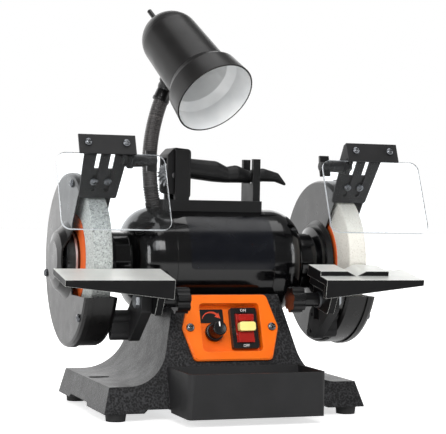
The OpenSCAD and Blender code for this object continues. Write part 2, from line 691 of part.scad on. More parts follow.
// Pivot in the radial frame of the guard: along the spark plate, and in front of it
pivot_r = guard_r + 41.87;
pivot_f = 9.47;
pivot_y = -pivot_r * cos(open_up) - pivot_f * sin(open_up);
pivot_z = spindle_z + pivot_r * sin(open_up) - pivot_f * cos(open_up);
ear_x = wheel_x - deflector_w / 2;
pivot_d = 6;
deflector_low = wheel_r + 2.8;
deflector_top = guard_r + 49;
deflector_foot = 19;
slide_slot = 36;
module deflector_shape() radial_frame() difference() {
    union() {
        translate([0, -seat, 0]) rotate([90, 0, 0]) linear_extrude(plate_t) polygon(rounded([
            [-deflector_foot, deflector_low], [deflector_foot, deflector_low], [deflector_w / 2,
                deflector_top],
            [-deflector_w / 2, deflector_top]], 2));
        translate([-deflector_w / 2, 0, 0]) rotate([90, 0, 90]) linear_extrude(plate_t) {
            polygon([[-seat - 0.1, pivot_r - 13], [-seat - 0.1, pivot_r + 5], [-pivot_f, pivot_r + 8],
                [-pivot_f, pivot_r - 8]]);
            translate([-pivot_f, pivot_r]) circle(r = 8, $fn = 64);
        }
    }
    for (x = [-1, 1]) translate([x * lug_screw_x, 1, lug_screw_r - 12 + (slide_slot + 12) / 2])
        rotate([90, 90, 0]) obround(slide_slot + 12, 4.6, 5);
    translate([-deflector_w / 2 - 1, -pivot_f, pivot_r]) rotate([0, 90, 0]) cylinder(d = pivot_d + 2 *
        run_fit, h = 5);
}
module deflector_right() color(iron_c) deflector_shape();
module deflector_left() color(iron_c) on_left(true) deflector_shape();

shield_out = 14.4;
flange_x = ear_x - plate_t - free;
module on_pivot() translate([0, pivot_y, pivot_z]) children();
module on_shield() on_pivot() rotate([-shield_lean, 0, 0]) children();
carrier_h = 18.5;
carrier_x0 = flange_x;
shield_mid = wheel_x + 0.6;
screw_span = 37.5;
shield_face = shield_out + shield_t / 2;
module carrier_shape() on_shield() difference() {
    union() {
        translate([carrier_x0, -shield_face - seat - plate_t, -1]) cube([carrier_w, plate_t, carrier_h + 1]);
        translate([carrier_x0, 0, 0]) rotate([90, 0, 90]) linear_extrude(plate_t) {
            polygon([[-shield_face - seat - plate_t + 0.1, 2.5], [-shield_face - seat - plate_t + 0.1,
                carrier_h],
                [-shield_face + 4, carrier_h], [4, 6.9], [-4, -6.9], [-shield_out + 3.5, 2.5]]);
            circle(r = 8, $fn = 64);
        }
    }
    translate([carrier_x0 - 1, 0, 0]) rotate([0, 90, 0]) cylinder(d = pivot_d + 2 * run_fit, h = 5);
    for (i = [0, 1]) translate([screw_x(i), 0, carrier_h * 0.55]) rotate([90, 0, 0]) cylinder(d = 4.4,
        h = 40);
}
function screw_x(i) = carrier_x0 + 9.5 + i * screw_span;
module eye_shield_shape() on_shield() difference() {
    union() {
        translate([shield_mid, -shield_out + shield_t / 2, -shield_h / 2]) rotate([90, 0, 0])
            linear_extrude(shield_t) polygon(rounded(box_pts(shield_w, shield_h), 9, 8));
        translate([carrier_x0 + plate_t + free, -shield_out - shield_t / 2, -12])
            cube([carrier_w - plate_t - 4, shield_t, 12 + carrier_h - 1]);
    }
    for (i = [0, 1]) translate([screw_x(i), 0, carrier_h * 0.55]) rotate([90, 0, 0]) cylinder(d = 4.4,
        h = 40);
}
module shield_screw_pair() on_shield() for (i = [0, 1])
    translate([screw_x(i), -shield_face - plate_t - 2 * seat, carrier_h * 0.55]) rotate([90, 0, 0]) {
        round_head(7.6, 3.2);
        translate([0, 0, -plate_t - shield_t - 3]) cylinder(d = 4, h = plate_t + shield_t + 4);
        translate([0, 0, -plate_t - shield_t - 3.4]) cylinder(d = 8, h = 3, $fn = 6);
    }
wing_stem = 24;
module wing_shape() on_pivot() {
    tip = flange_x - free;
    translate([tip - 6, 0, 0]) rotate([0, 90, 0]) cylinder(d = pivot_d, h = ear_x + plate_t + 5 - tip + 6);
    translate([tip - 12, 0, 0]) rotate([0, 90, 0]) cylinder(d1 = 12, d2 = 13, h = 12);
    translate([tip - 16, 0, 0]) rotate([0, 90, 0]) cylinder(d = 10, h = 5);
    for (s = [0, 180]) rotate([s - 12, 0, 0]) translate([tip - wing_stem, -2.2, 2.5]) rotate([90, 0, 90])
        linear_extrude(10) polygon(rounded([[0, 0], [4.4, 0], [3.6, 8.2], [0.8, 8.2]], 0.7, 3));
    translate([tip - wing_stem, 0, 0]) rotate([0, 90, 0]) cylinder(d = 9, h = 9);
    translate([ear_x + plate_t + free, 0, 0]) rotate([0, 90, 0]) cylinder(d = 10, h = 4.7, $fn = 6);
}
module shield_carrier_right() color(iron_c) carrier_shape();
module shield_carrier_left() color(iron_c) on_left(true) carrier_shape();
module eye_shield_right() color(clear_c) eye_shield_shape();
module eye_shield_left() color(clear_c) on_left(true) eye_shield_shape();
module shield_screws_right() color(steel_c) shield_screw_pair();
module shield_screws_left() color(steel_c) on_left(true) shield_screw_pair();
module wing_knob_right() color(gloss_c) wing_shape();
module wing_knob_left() color(gloss_c) on_left(true) wing_shape();

// ---------- tool rests ----------

rest_back = wheel_r + rest_gap;
rest_in = wheel_x - 57;
rest_top = spindle_z - 5;
clamp_y = -wheel_r - 13.8;
clamp_z = spindle_z - 35;
arm_x = rest_in + 8;
arm_t = 7;
rest_travel = 8;
bracket_x = arm_x + arm_t + free;
bracket_t = 10;
knob_end = 54;
knob_t = 13;
module on_rest() translate([0, -rest_back, rest_top]) rotate([rest_tilt, 0, 0]) children();
// Clamp bolt in the frame of the rest
function turned(y, z, a) = [y * cos(a) + z * sin(a), -y * sin(a) + z * cos(a)];
clamp_local = turned(clamp_y + rest_back, clamp_z - rest_top, rest_tilt);
module rest_slab(notch) {
    // Machined top with a tapered skirt along the front
    difference() {
        translate([rest_in, -rest_d, -6]) cube([rest_w, rest_d, 6]);
        children();
    }
    translate([0, -rest_d, 0]) rotate([90, 0, 0]) translate([0, 0, -5]) linear_extrude(5) polygon([
        [rest_in, -1], [rest_in + rest_w, -1], [rest_in + rest_w, -6], [rest_in, -19]]);
    translate([rest_in + 2, -rest_d + 1, -14]) cube([5, rest_d - 4, 9]);
}
module rest_arm() difference() {
    translate([arm_x, 0, 0]) rotate([90, 0, 90]) linear_extrude(arm_t) polygon(rounded([
        [-rest_d + 2, -3], [-rest_d + 2, -14], [clamp_local[0] - 22, clamp_local[1] - 10],
        [clamp_local[0] + rest_travel + 9, clamp_local[1] - 10], [clamp_local[0] + rest_travel + 9, -3]],
            2.5));
    translate([arm_x - 1, clamp_local[0] + rest_travel / 2, clamp_local[1]]) rotate([90, 0, 90])
        obround(rest_travel + clamp_d + 2 * free, clamp_d + 2 * free, arm_t + 2);
}
vee_at = 39.5;
vee_x = rest_in + vee_at;
module vee_cut(x, deep, w, y0, y1, z) translate([x, y1, z]) rotate([90, 0, 0]) linear_extrude(y1 - y0)
    polygon([[-w / 2 - 1, 1], [-w / 2, 0], [0, -deep], [w / 2, 0], [w / 2 + 1, 1]]);
module tool_rest_left() color(alu_c) on_left(true) on_rest() {
    rest_slab();
    rest_arm();
}
vee_h = 5;
vee_cut_w = 21;
vee_w = 75;
vee_front = 32;
module tool_rest_right() color(alu_c) on_rest() {
    rest_slab();
    rest_arm();
    difference() {
        translate([rest_in, -vee_front, -1]) cube([vee_w, vee_front, vee_h + 1]);
        vee_cut(vee_x, vee_h, vee_cut_w, -vee_front - 1, 1, vee_h);
    }
}
module bracket_shape() difference() {
    union() {
        translate([bracket_x, 0, 0]) rotate([90, 0, 90]) linear_extrude(bracket_t) polygon(rounded([
            [clamp_y - 11, clamp_z - 11], [clamp_y - 11, clamp_z + 9], [clamp_y + 10, clamp_z + 9],
            [clamp_y + 40, clamp_z - 14], [clamp_y + 48, clamp_z - 40], [clamp_y + 28, clamp_z - 42]], 4));
        for (p = bracket_feet) translate([bracket_x + 1, p[0], p[1]]) rotate([0, 90, 0])
            cylinder(d = 13, h = guard_x - seat - bracket_x - 1);
        translate([bracket_x + 1, bracket_feet[0][0] - 3, bracket_feet[1][1]])
            cube([guard_x - seat - bracket_x - 1, 6, bracket_feet[0][1] - bracket_feet[1][1]]);
    }
    translate([bracket_x - 1, clamp_y, clamp_z]) rotate([0, 90, 0]) cylinder(d = clamp_d + 2 * run_fit,
        h = bracket_t + 2);
    translate([bracket_x - 1, clamp_y + 16, clamp_z - 22]) cube([5, 14, 12]);
    for (p = bracket_feet) translate([bracket_x - 1, p[0], p[1]]) rotate([0, 90, 0]) cylinder(d = 4.4,
        h = 40);
}
bracket_feet = [[clamp_y + 34, clamp_z - 18], [clamp_y + 37, clamp_z - 35]];
module clamp_shape() translate([0, clamp_y, clamp_z]) {
    translate([knob_end + 4, 0, 0]) rotate([0, 90, 0]) cylinder(d = clamp_d, h = bracket_x + bracket_t -
        knob_end);
    translate([bracket_x + bracket_t + seat, 0, 0]) rotate([0, 90, 0]) cylinder(d = 15, h = 4, $fn = 6);
    translate([arm_x - seat - 2, 0, 0]) rotate([0, 90, 0]) tube(8, 3.9, 2);
}
module star_shape() translate([knob_end, clamp_y, clamp_z]) rotate([0, 90, 0]) difference() {
    union() {
        difference() {
            cylinder(d = star_d - 1, h = knob_t);
            for (i = [0 : 6]) rotate([0, 0, (i + 0.5) * 360 / 7]) translate([star_d / 2 + 1.6, 0, -1])
                cylinder(r = 4.2, h = knob_t + 2);
        }
        cylinder(d = 14, h = arm_x - seat - 2 - free - knob_end);
    }
    translate([0, 0, 3]) cylinder(d = clamp_d + 2 * run_fit, h = arm_x);
}
module rest_bracket_right() color(iron_c) bracket_shape();
module rest_bracket_left() color(iron_c) on_left(true) bracket_shape();
module clamp_bolt_right() color(steel_c) clamp_shape();
module clamp_bolt_left() color(steel_c) on_left(true) clamp_shape();
module star_knob_right() color(gloss_c) star_shape();
module star_knob_left() color(gloss_c) on_left(true) star_shape();

// ---------- wheel dresser in its cradle ----------

cradle_x = -4;
cradle_top = spindle_z + can_r + 8;
prong_t = 5;
prong_in = head_w / 2 + 0.6;
post_x = -37.8;
post_w = 15;
fork_x = 45;
fork_w = 8;
fork_in = 12;
head_x = -40;
head_z = cradle_top + 27;
head_right = 13;
cheek_wall = 3;
module dresser_cradle() color(iron_c) {
    difference() {
        translate([cradle_x, 0, spindle_z + can_r - 6]) block(cradle_len, cradle_d, 14);
        along_x(-80) cylinder(r = can_r + seat, h = 160, $fn = 160);
        at_neck(neck_p0, lean0) cylinder(d = 20, h = 40);
    }
    for (s = [-1, 1]) {
        translate([post_x, s * (prong_in + prong_t / 2), cradle_top - 1]) block(post_w, prong_t, 52);
        translate([fork_x, s * (fork_in + prong_t / 2), cradle_top - 1]) block(fork_w, prong_t, 45);
    }
    translate([fork_x, 0, cradle_top - 1]) block(fork_w, 2 * fork_in + 2, fork_seat - cradle_top + 1);
}
head_wall = 4;
cutter_x = head_x - 4;
cutter_z = head_z - 2;
module dresser_body() color(iron_c) {
    // Hooded head with two cheeks
    difference() {
        translate([head_x, 0, head_z]) rotate([90, 0, 0]) translate([0, 0, -head_w / 2])
            linear_extrude(head_w) polygon(rounded([[-12, -20], [head_right, -26.7], [head_right, 25],
                [-5, 26.5],
                [-12, 19]], 4));
        translate([head_x, 0, head_z - 2]) rotate([90, 0, 0]) translate([0, 0, -head_w / 2 + head_wall])
            linear_extrude(head_w - 2 * head_wall) polygon([[-30, -40], [3, -40],
                [head_right - cheek_wall, -20], [head_right - cheek_wall, 18], [-30, 18]]);
        translate([cutter_x, 40, cutter_z]) rotate([90, 0, 0]) cylinder(d = pin_d + 2 * seat, h = 80);
    }
    // Shank and cast grip with finger waves
    difference() {
        grip_shape();
        translate([head_x - 40, -40, head_z - 40]) cube([40 + head_right - cheek_wall / 2, 80, 80]);
    }
}
// Stations of the grip: along X, above the middle of the head, radius
grip = [[-27, 6, 10.3], [3, 3.4, 11], [16, 0.1, 8.3], [27, 1.2, 9.2], [40.5, -1.2, 6.6], [58, 1, 7],
    [73, -1, 5], [83.3, -8, 1.5]];
fork_seat = head_z + grip[4][1] - grip[4][2] - free;
pin_d = 6;
module grip_shape() for (i = [0 : len(grip) - 2]) hull() for (j = [i, i + 1])
    translate([grip[j][0], 0, head_z + grip[j][1]]) sphere(r = grip[j][2], $fn = 28);
cutter_gap = (head_w - 2 * head_wall) / cutter_n;
module star_cutters() color(steel_c) for (i = [0 : cutter_n - 1])
    translate([cutter_x, (i - (cutter_n - 1) / 2) * cutter_gap, cutter_z]) rotate([90, 0, 0])
        translate([0, 0, -cutter_gap * 0.36]) linear_extrude(cutter_gap * 0.72) difference() {
            polygon([for (k = [0 : 35]) let (r = k % 2 == 0 ? cutter_d / 2 : cutter_d / 2 - 3.4)
                r * [cos(k * 10 + i * 7), sin(k * 10 + i * 7)]]);
            circle(d = pin_d + 2 * free);
        }
module dresser_pin() color(steel_c) translate([cutter_x, head_w / 2 - 0.5, cutter_z]) rotate([90, 0, 0])
    cylinder(d = pin_d, h = head_w - 1);

// ---------- gooseneck and lamp ----------

// The gooseneck lies in the plane Y = neck_y. It leaves the bell leaning left, then bends right.
neck_y = 4;
neck_x0 = -60;
neck_z0 = spindle_z + can_r - 4;
lean0 = -12.5;
neck_straight = 8;
sweep_a = 37.2;
function along(p, a, l) = p + l * [sin(a), cos(a)];
neck_p0 = [neck_x0, neck_z0];
neck_p1 = along(neck_p0, lean0, neck_straight);
bend_mid = neck_p1 + neck_bend_r * [cos(lean0), -sin(lean0)];
function bend_at(a) = bend_mid + neck_bend_r * [-cos(lean0 + a), sin(lean0 + a)];
// Both joints sit above the dresser at the top of its lift, so that the lamp swings over it
cut_1 = 23.5;
cut_2 = 30.5;
neck_gap = 1.7;
gap_a = neck_gap / neck_bend_r * 180 / PI;
ball_r = neck_tube_d / 2 - 1;
module at_neck(p, a) translate([p[0], neck_y, p[1]]) rotate([0, a, 0]) children();
// A stretch of the bent tube, from angle a0 to a1 of the bend
module bent(a0, a1) translate([bend_mid[0], neck_y, bend_mid[1]]) rotate([90, 0, 0])
    rotate([0, 0, 180 - lean0 - a1]) rotate_extrude(angle = a1 - a0, $fn = 160)
        translate([neck_bend_r, 0]) circle(d = neck_tube_d, $fn = 48);
module ball(a) at_neck(bend_at(a), lean0 + a) sphere(r = ball_r, $fn = 32);
module socket(a) at_neck(bend_at(a), lean0 + a) sphere(r = ball_r + free, $fn = 32);
module gooseneck_lower() color(gloss_c) {
    difference() {
        union() {
            at_neck(neck_p0, lean0) {
                cylinder(d = neck_tube_d + 0.8, h = neck_straight);
                cylinder(d = neck_tube_d + 2.8, h = 10, $fn = 6);
            }
            bent(-1.5, cut_1 - gap_a);
        }
        along_x(-90) cylinder(r = can_r + seat, h = 60, $fn = 160);
    }
    ball(cut_1);
}
module gooseneck_middle() color(gloss_c) {
    difference() {
        bent(cut_1 + gap_a, cut_2 - gap_a);
        socket(cut_1);
    }
    ball(cut_2);
}
neck_top = bend_at(sweep_a);
// Lamp frame: origin on the axis of the shade beside the sleeve, +Z towards the dome
lamp_turn = 21;
lamp_tilt = 48.6;
sleeve_at = 73.4;
lamp_side = 82.3;
boss_reach = 13;
sleeve_h = 6;
arm_pin_d = 8;
elbow_r = neck_tube_d / 2 + 1.6;
arm_d = neck_tube_d + 2;
cuff_d = neck_tube_d + 2.5;
cuff_h = 12;
lamp_off = body_d / 2 + boss_reach;
module in_lamp() translate(lamp_at) rotate([0, 0, lamp_turn]) rotate([-lamp_tilt, 0, 0]) children();
function spin_x(v, a) = [v[0], v[1] * cos(a) - v[2] * sin(a), v[1] * sin(a) + v[2] * cos(a)];
function spin_z(v, a) = [v[0] * cos(a) - v[1] * sin(a), v[0] * sin(a) + v[1] * cos(a), v[2]];
side_dir = spin_z(spin_x([cos(lamp_side), sin(lamp_side), 0], -lamp_tilt), lamp_turn);
elbow = [neck_top[0], neck_y, neck_top[1]];
lamp_at = elbow - side_dir * lamp_off;
module gooseneck_upper() color(gloss_c) {
    difference() {
        union() {
            bent(cut_2 + gap_a, sweep_a + 0.2);
            at_neck(neck_top, lean0 + sweep_a) translate([0, 0, -cuff_h - 4]) cylinder(d = cuff_d, h =
                cuff_h);
        }
        socket(cut_2);
    }
    // Ball of the elbow, cut flat inside the arm so that it clears the sleeve of the shade
    difference() {
        translate(elbow) sphere(r = elbow_r, $fn = 32);
        in_lamp() rotate([0, 0, lamp_side]) rotate([0, 90, 0]) cylinder(r = 2 * elbow_r, h = body_d / 2 +
            sleeve_h + 0.5);
    }
    in_lamp() rotate([0, 0, lamp_side]) rotate([0, 90, 0]) {
        translate([0, 0, body_d / 2 + sleeve_h]) cylinder(d = arm_d, h = boss_reach - sleeve_h);
        translate([0, 0, body_d / 2 - 2]) cylinder(d = arm_pin_d, h = boss_reach);
    }
}
dome_r = body_d / 2 - 1.5;
dome_z = shade_len - sleeve_at;
// Height of the belled part above the rim
bell_top = 33;
function shade_pts(t) = concat(
    [for (a = [90 : -7.5 : 0]) [(dome_r - t) * cos(a), dome_z + (dome_r - t) * sin(a)]],
    [[body_d / 2 + 1 - t, bell_top - sleeve_at], [body_d / 2 + 3.2 - t, bell_top - 3 - sleeve_at],
     [shade_d / 2 - 3 - t, bell_top - 9 - sleeve_at], [shade_d / 2 - t, -sleeve_at]]);
function backwards(v) = [for (i = [len(v) - 1 : -1 : 0]) v[i]];
module lamp_shade() color(gloss_c) in_lamp() difference() {
    union() {
        rotate_extrude($fn = 128) polygon(concat(shade_pts(0), backwards(shade_pts(shade_t))));
        intersection() {
            rotate([0, 0, lamp_side]) rotate([0, 90, 0]) translate([0, 0, body_d / 2 - sleeve_h])
                cylinder(d = neck_tube_d + 5, h = 2 * sleeve_h - free);
            difference() {
                cylinder(r = 60, h = 60, center = true);
                cylinder(r = body_d / 2 - 1, h = 70, center = true);
            }
        }
    }
    rotate([0, 0, lamp_side]) rotate([0, 90, 0]) cylinder(d = arm_pin_d + 2 * run_fit, h = body_d);
    translate([0, 0, dome_z]) cylinder(d = 9, h = body_d);
}
socket_z = dome_z + dome_r - shade_t - 4;
module lamp_socket() color([0.9, 0.9, 0.88]) in_lamp() difference() {
    union() {
        translate([0, 0, socket_z - 30]) cylinder(d = bulb_d + 5, h = 26);
        translate([0, 0, socket_z - 5]) cylinder(d1 = bulb_d + 5, d2 = 14, h = 5);
        translate([0, 0, socket_z - 1]) cylinder(d = 12, h = 4);
    }
    translate([0, 0, socket_z - 31]) cylinder(d = bulb_d, h = bulb_deep + 1);
    translate([0, 0, socket_z - 12]) cylinder(d = 4 + 2 * run_fit, h = 30);
}
// Length of the switch stem outside the dome
stem_reach = 19;
module lamp_switch() color(gloss_c) in_lamp() {
    translate([0, 0, socket_z - 8]) cylinder(d = 4, h = 16);
    translate([0, 0, dome_z + dome_r + 1]) cylinder(d = 5, h = stem_reach);
}

base_casting();
rubber_feet();
bottom_plate();
cord_gland();
control_board();
water_tray();
switch_panel();
panel_screws();
dial_plate();
speed_pot();
speed_knob();
switch_housing();
switch_paddle();
safety_key();
motor_can();
stator();
rotor_core();
spindle_shaft();
bearings();
bell_left();
bell_right();
through_bolts();
wheel_flanges();
arbor_nuts();
blotters();
wheel_grey();
wheel_white();
guard_left();
guard_right();
guard_screws();
cover_left();
cover_right();
deflector_left();
deflector_right();
shield_carrier_left();
shield_carrier_right();
eye_shield_left();
eye_shield_right();
shield_screws_left();
shield_screws_right();
wing_knob_left();
wing_knob_right();
rest_bracket_left();
rest_bracket_right();
clamp_bolt_left();
clamp_bolt_right();
tool_rest_left();
tool_rest_right();
star_knob_left();
star_knob_right();
dresser_cradle();
dresser_body();
star_cutters();
dresser_pin();
gooseneck_lower();
gooseneck_middle();
gooseneck_upper();
lamp_shade();
lamp_socket();
lamp_switch();
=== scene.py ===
"""Looks of a bench grinder with water tray, eye shields, tool rests, gooseneck lamp and wheel dresser.

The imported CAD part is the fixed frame: +X runs right along the spindle, -Y faces the user and +Z is up.
Blender's unit is the metre. Sizes are written in millimetres and turned to metres as they become vertices.
"""

import json
import logging
import math
from dataclasses import dataclass
from enum import Enum
from typing import Callable, Iterable, Sequence

import bmesh
import bpy
from mathutils import Matrix, Vector


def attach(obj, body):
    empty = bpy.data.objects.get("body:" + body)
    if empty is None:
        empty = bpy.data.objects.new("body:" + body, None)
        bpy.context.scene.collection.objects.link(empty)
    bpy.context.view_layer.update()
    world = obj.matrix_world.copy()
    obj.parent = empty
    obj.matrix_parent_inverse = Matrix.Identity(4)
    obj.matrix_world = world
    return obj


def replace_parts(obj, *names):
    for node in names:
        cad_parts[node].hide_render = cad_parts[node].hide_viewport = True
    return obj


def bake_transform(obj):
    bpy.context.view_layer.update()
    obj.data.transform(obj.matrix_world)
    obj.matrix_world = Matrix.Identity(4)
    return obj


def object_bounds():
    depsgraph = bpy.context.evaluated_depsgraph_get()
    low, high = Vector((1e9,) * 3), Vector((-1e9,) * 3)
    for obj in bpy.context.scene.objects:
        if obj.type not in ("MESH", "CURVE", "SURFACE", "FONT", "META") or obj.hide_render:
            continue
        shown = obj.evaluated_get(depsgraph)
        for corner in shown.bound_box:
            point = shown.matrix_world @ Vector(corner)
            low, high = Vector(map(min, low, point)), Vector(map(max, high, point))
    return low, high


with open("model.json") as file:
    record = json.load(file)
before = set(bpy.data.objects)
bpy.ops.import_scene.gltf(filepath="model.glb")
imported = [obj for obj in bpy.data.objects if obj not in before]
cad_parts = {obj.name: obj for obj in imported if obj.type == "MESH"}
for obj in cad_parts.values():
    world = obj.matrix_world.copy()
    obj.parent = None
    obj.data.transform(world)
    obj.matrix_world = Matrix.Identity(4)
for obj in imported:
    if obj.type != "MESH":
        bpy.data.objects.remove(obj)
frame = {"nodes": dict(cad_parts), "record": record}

CAD_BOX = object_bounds()
MM = 0.001
SPINDLE_Z = 144.0  # height of the spindle, in millimetres
CREASE = math.radians(35)  # edges sharper than this stay sharp
Point = tuple[float, float, float]
Flat = tuple[float, float]
Tree = bpy.types.NodeTree
Node = bpy.types.Node
Wire = bpy.types.NodeSocket
Piece = bpy.types.Object
log = logging.getLogger("bench_grinder")


class Side(Enum):
    """The two ends of the spindle."""

    LEFT = -1
    RIGHT = 1

    @property
    def word(self) -> str:
        """The side's name as the nodes and bodies end with it."""
        return self.name.lower()

    def x(self, distance: float) -> float:
        """The X of something this far out from the middle of the grinder."""
        return self.value * distance


# ---------- finishes ----------


def linear(hex_colour: str) -> tuple[float, float, float, float]:
    """Turns an sRGB hex colour to the linear colour that shaders take.

    Args:
        hex_colour: A colour such as "#f0661a".

    Returns:
        Linear red, green, blue and an alpha of 1.
    """
    parts = [int(hex_colour[i : i + 2], 16) / 255 for i in (1, 3, 5)]
    return (*[c / 12.92 if c <= 0.04045 else ((c + 0.055) / 1.055) ** 2.4 for c in parts], 1.0)


def add(tree: Tree, kind: str, inputs: dict | None = None, **settings) -> Node:
    """Adds a node, with its settings, its fixed inputs and its links.

    Args:
        tree: The node tree that gets the node.
        kind: The node's type, such as "ShaderNodeBump".
        inputs: Values, output sockets or nodes, by the input's name or number.
            A node stands for its first output.
        **settings: The node's own properties.

    Returns:
        The new node.
    """
    node = tree.nodes.new(kind)
    for key, value in settings.items():
        setattr(node, key, value)
    for key, value in (inputs or {}).items():
        value = value.outputs[0] if isinstance(value, Node) else value
        if isinstance(value, Wire):
            tree.links.new(value, node.inputs[key])
        else:
            node.inputs[key].default_value = value
    return node


@dataclass(frozen=True)
class Finish:
    """A surface whose colour and gloss wander a little, with a grain in its height and softened edges.

    Sizes are in millimetres. A grain of 0 means a surface without grain.
    """

    name: str
    colour: str
    shade: str
    roughness: float
    metallic: float = 0.0
    specular: float = 0.5
    coat: float = 0.0
    coat_roughness: float = 0.08
    wander: float = 28.0
    smear: float = 0.05
    grain: float = 0.0
    grain_depth: float = 0.05
    edge: float = 0.5
    # colour and strength of the painted highlight on edges; an empty colour means none
    edge_highlight_colour: str = ""
    edge_highlight_share: float = 0.5

    def material(self) -> bpy.types.Material:
        """The Blender material of this finish, made once."""
        found = bpy.data.materials.get(self.name)
        return found if found else self._make()

    def _make(self) -> bpy.types.Material:
        """Builds the node tree.

        Returns:
            The new material.
        """
        made = bpy.data.materials.new(self.name)
        made.use_nodes = True
        made.diffuse_color = linear(self.colour)
        tree = made.node_tree
        tree.nodes.clear()
        place = add(tree, "ShaderNodeTexCoord").outputs["Object"]
        soft = add(tree, "ShaderNodeBevel", {"Radius": self.edge * MM}, samples=4).outputs["Normal"]
        shader = add(tree, "ShaderNodeBsdfPrincipled", {
            "Metallic": self.metallic,
            "Specular IOR Level": self.specular,
            "Coat Weight": self.coat,
            "Coat Roughness": self.coat_roughness,
        })
        tint = self.paint_edge_highlight(tree, self.tint(tree, place), soft)
        tree.links.new(tint, shader.inputs["Base Color"])
        tree.links.new(self.gloss(tree, place), shader.inputs["Roughness"])
        tree.links.new(self.relief(tree, place, soft), shader.inputs["Normal"])
        tree.links.new(soft, shader.inputs["Coat Normal"])
        self.extra(tree, place, shader)
        out = add(tree, "ShaderNodeOutputMaterial", {"Surface": shader})
        out.is_active_output = True
        return made

    def noise(self, tree: Tree, place: Wire, size: float, detail: float = 3.0) -> Wire:
        """A noise whose lumps are about this many millimetres across."""
        return add(tree, "ShaderNodeTexNoise", {
            "Vector": place, "Scale": 1000 / size, "Detail": detail}).outputs[0]

    def tint(self, tree: Tree, place: Wire) -> Wire:
        """The colour, which wanders between the finish's two colours.

        Args:
            tree: The material's tree.
            place: The object's own coordinates.

        Returns:
            The wandering colour.
        """
        drift = add(tree, "ShaderNodeMapRange", {
            "Value": self.noise(tree, place, self.wander), "From Min": 0.36, "From Max": 0.64})
        return add(tree, "ShaderNodeMix", {
            "Factor": drift, 6: linear(self.colour), 7: linear(self.shade)}, data_type="RGBA").outputs[2]

    def paint_edge_highlight(self, tree: Tree, tint: Wire, soft: Wire) -> Wire:
        """Paints a lighter colour on edges, where the softened normal leaves the flat one: a little edge
        wear, mostly a painted highlight.

        Args:
            tree: The material's tree.
            tint: The colour so far.
            soft: The softened normal.

        Returns:
            The colour with its painted edge highlight.
        """
        if not self.edge_highlight_colour:
            return tint
        flat = add(tree, "ShaderNodeNewGeometry").outputs["Normal"]
        dot = add(tree, "ShaderNodeVectorMath", {0: soft, 1: flat}, operation="DOT_PRODUCT").outputs["Value"]
        highlight_mask = add(tree, "ShaderNodeMapRange", {
            "Value": dot, "From Min": 0.99, "From Max": 0.86, "To Max": self.edge_highlight_share})
        return add(tree, "ShaderNodeMix", {
            "Factor": highlight_mask, 6: tint, 7: linear(self.edge_highlight_colour)}, data_type="RGBA").outputs[2]

    def gloss(self, tree: Tree, place: Wire) -> Wire:
        """The roughness, smeared a little as handling leaves it.

        Args:
            tree: The material's tree.
            place: The object's own coordinates.

        Returns:
            The roughness at each point.
        """
        return add(tree, "ShaderNodeMapRange", {
            "Value": self.noise(tree, place, self.wander * 0.6, 5.0), "From Min": 0.3, "From Max": 0.7,
            "To Min": max(self.roughness - self.smear, 0.02),
            "To Max": self.roughness + self.smear}).outputs[0]

    def relief(self, tree: Tree, place: Wire, soft: Wire) -> Wire:
        """The normal: the softened edges with the grain on them.

        Args:
            tree: The material's tree.
            place: The object's own coordinates.
            soft: The softened normal.

        Returns:
            The normal at each point.
        """
        if not self.grain:
            return soft
        return add(tree, "ShaderNodeBump", {
            "Height": self.height(tree, place), "Distance": self.grain_depth * MM, "Normal": soft}).outputs[0]

    def height(self, tree: Tree, place: Wire) -> Wire:
        """The height of the grain."""
        return self.noise(tree, place, self.grain, 4.0)

    def extra(self, tree: Tree, place: Wire, shader: Node) -> None:
        """Room for what only one kind of finish has."""


@dataclass(frozen=True)
class HammerFinish(Finish):
    """Hammer-finish enamel on a sand casting: shallow round dimples, with painted highlights on the rims
    between them.
    """

    rim_glint_colour: str = "#343436"

    def cells(self, tree: Tree, place: Wire) -> Wire:
        """Distance from the middle of each dimple.

        Args:
            tree: The material's tree.
            place: The object's own coordinates.

        Returns:
            That distance, as a share of a dimple's size.
        """
        return add(tree, "ShaderNodeTexVoronoi", {
            "Vector": place, "Scale": 1000 / self.grain, "Smoothness": 0.55, "Randomness": 1.0,
        }, feature="SMOOTH_F1").outputs["Distance"]

    def height(self, tree: Tree, place: Wire) -> Wire:
        """Dimples with finer sand texture in them.

        Args:
            tree: The material's tree.
            place: The object's own coordinates.

        Returns:
            The height at each point.
        """
        sand = add(tree, "ShaderNodeMath", {
            0: self.noise(tree, place, self.grain * 0.45, 5.0), 1: 0.5}, operation="MULTIPLY")
        return add(tree, "ShaderNodeMath", {0: self.cells(tree, place), 1: sand}, operation="ADD").outputs[0]

    def tint(self, tree: Tree, place: Wire) -> Wire:
        """Paints pale glints on the rims of the dimples as painted highlights.

        Args:
            tree: The material's tree.
            place: The object's own coordinates.

        Returns:
            The colour at each point.
        """
        rim = add(tree, "ShaderNodeMapRange", {
            "Value": self.cells(tree, place), "From Min": 0.35, "From Max": 0.75})
        return add(tree, "ShaderNodeMix", {
            "Factor": rim, 6: super().tint(tree, place), 7: linear(self.rim_glint_colour),
        }, data_type="RGBA").outputs[2]


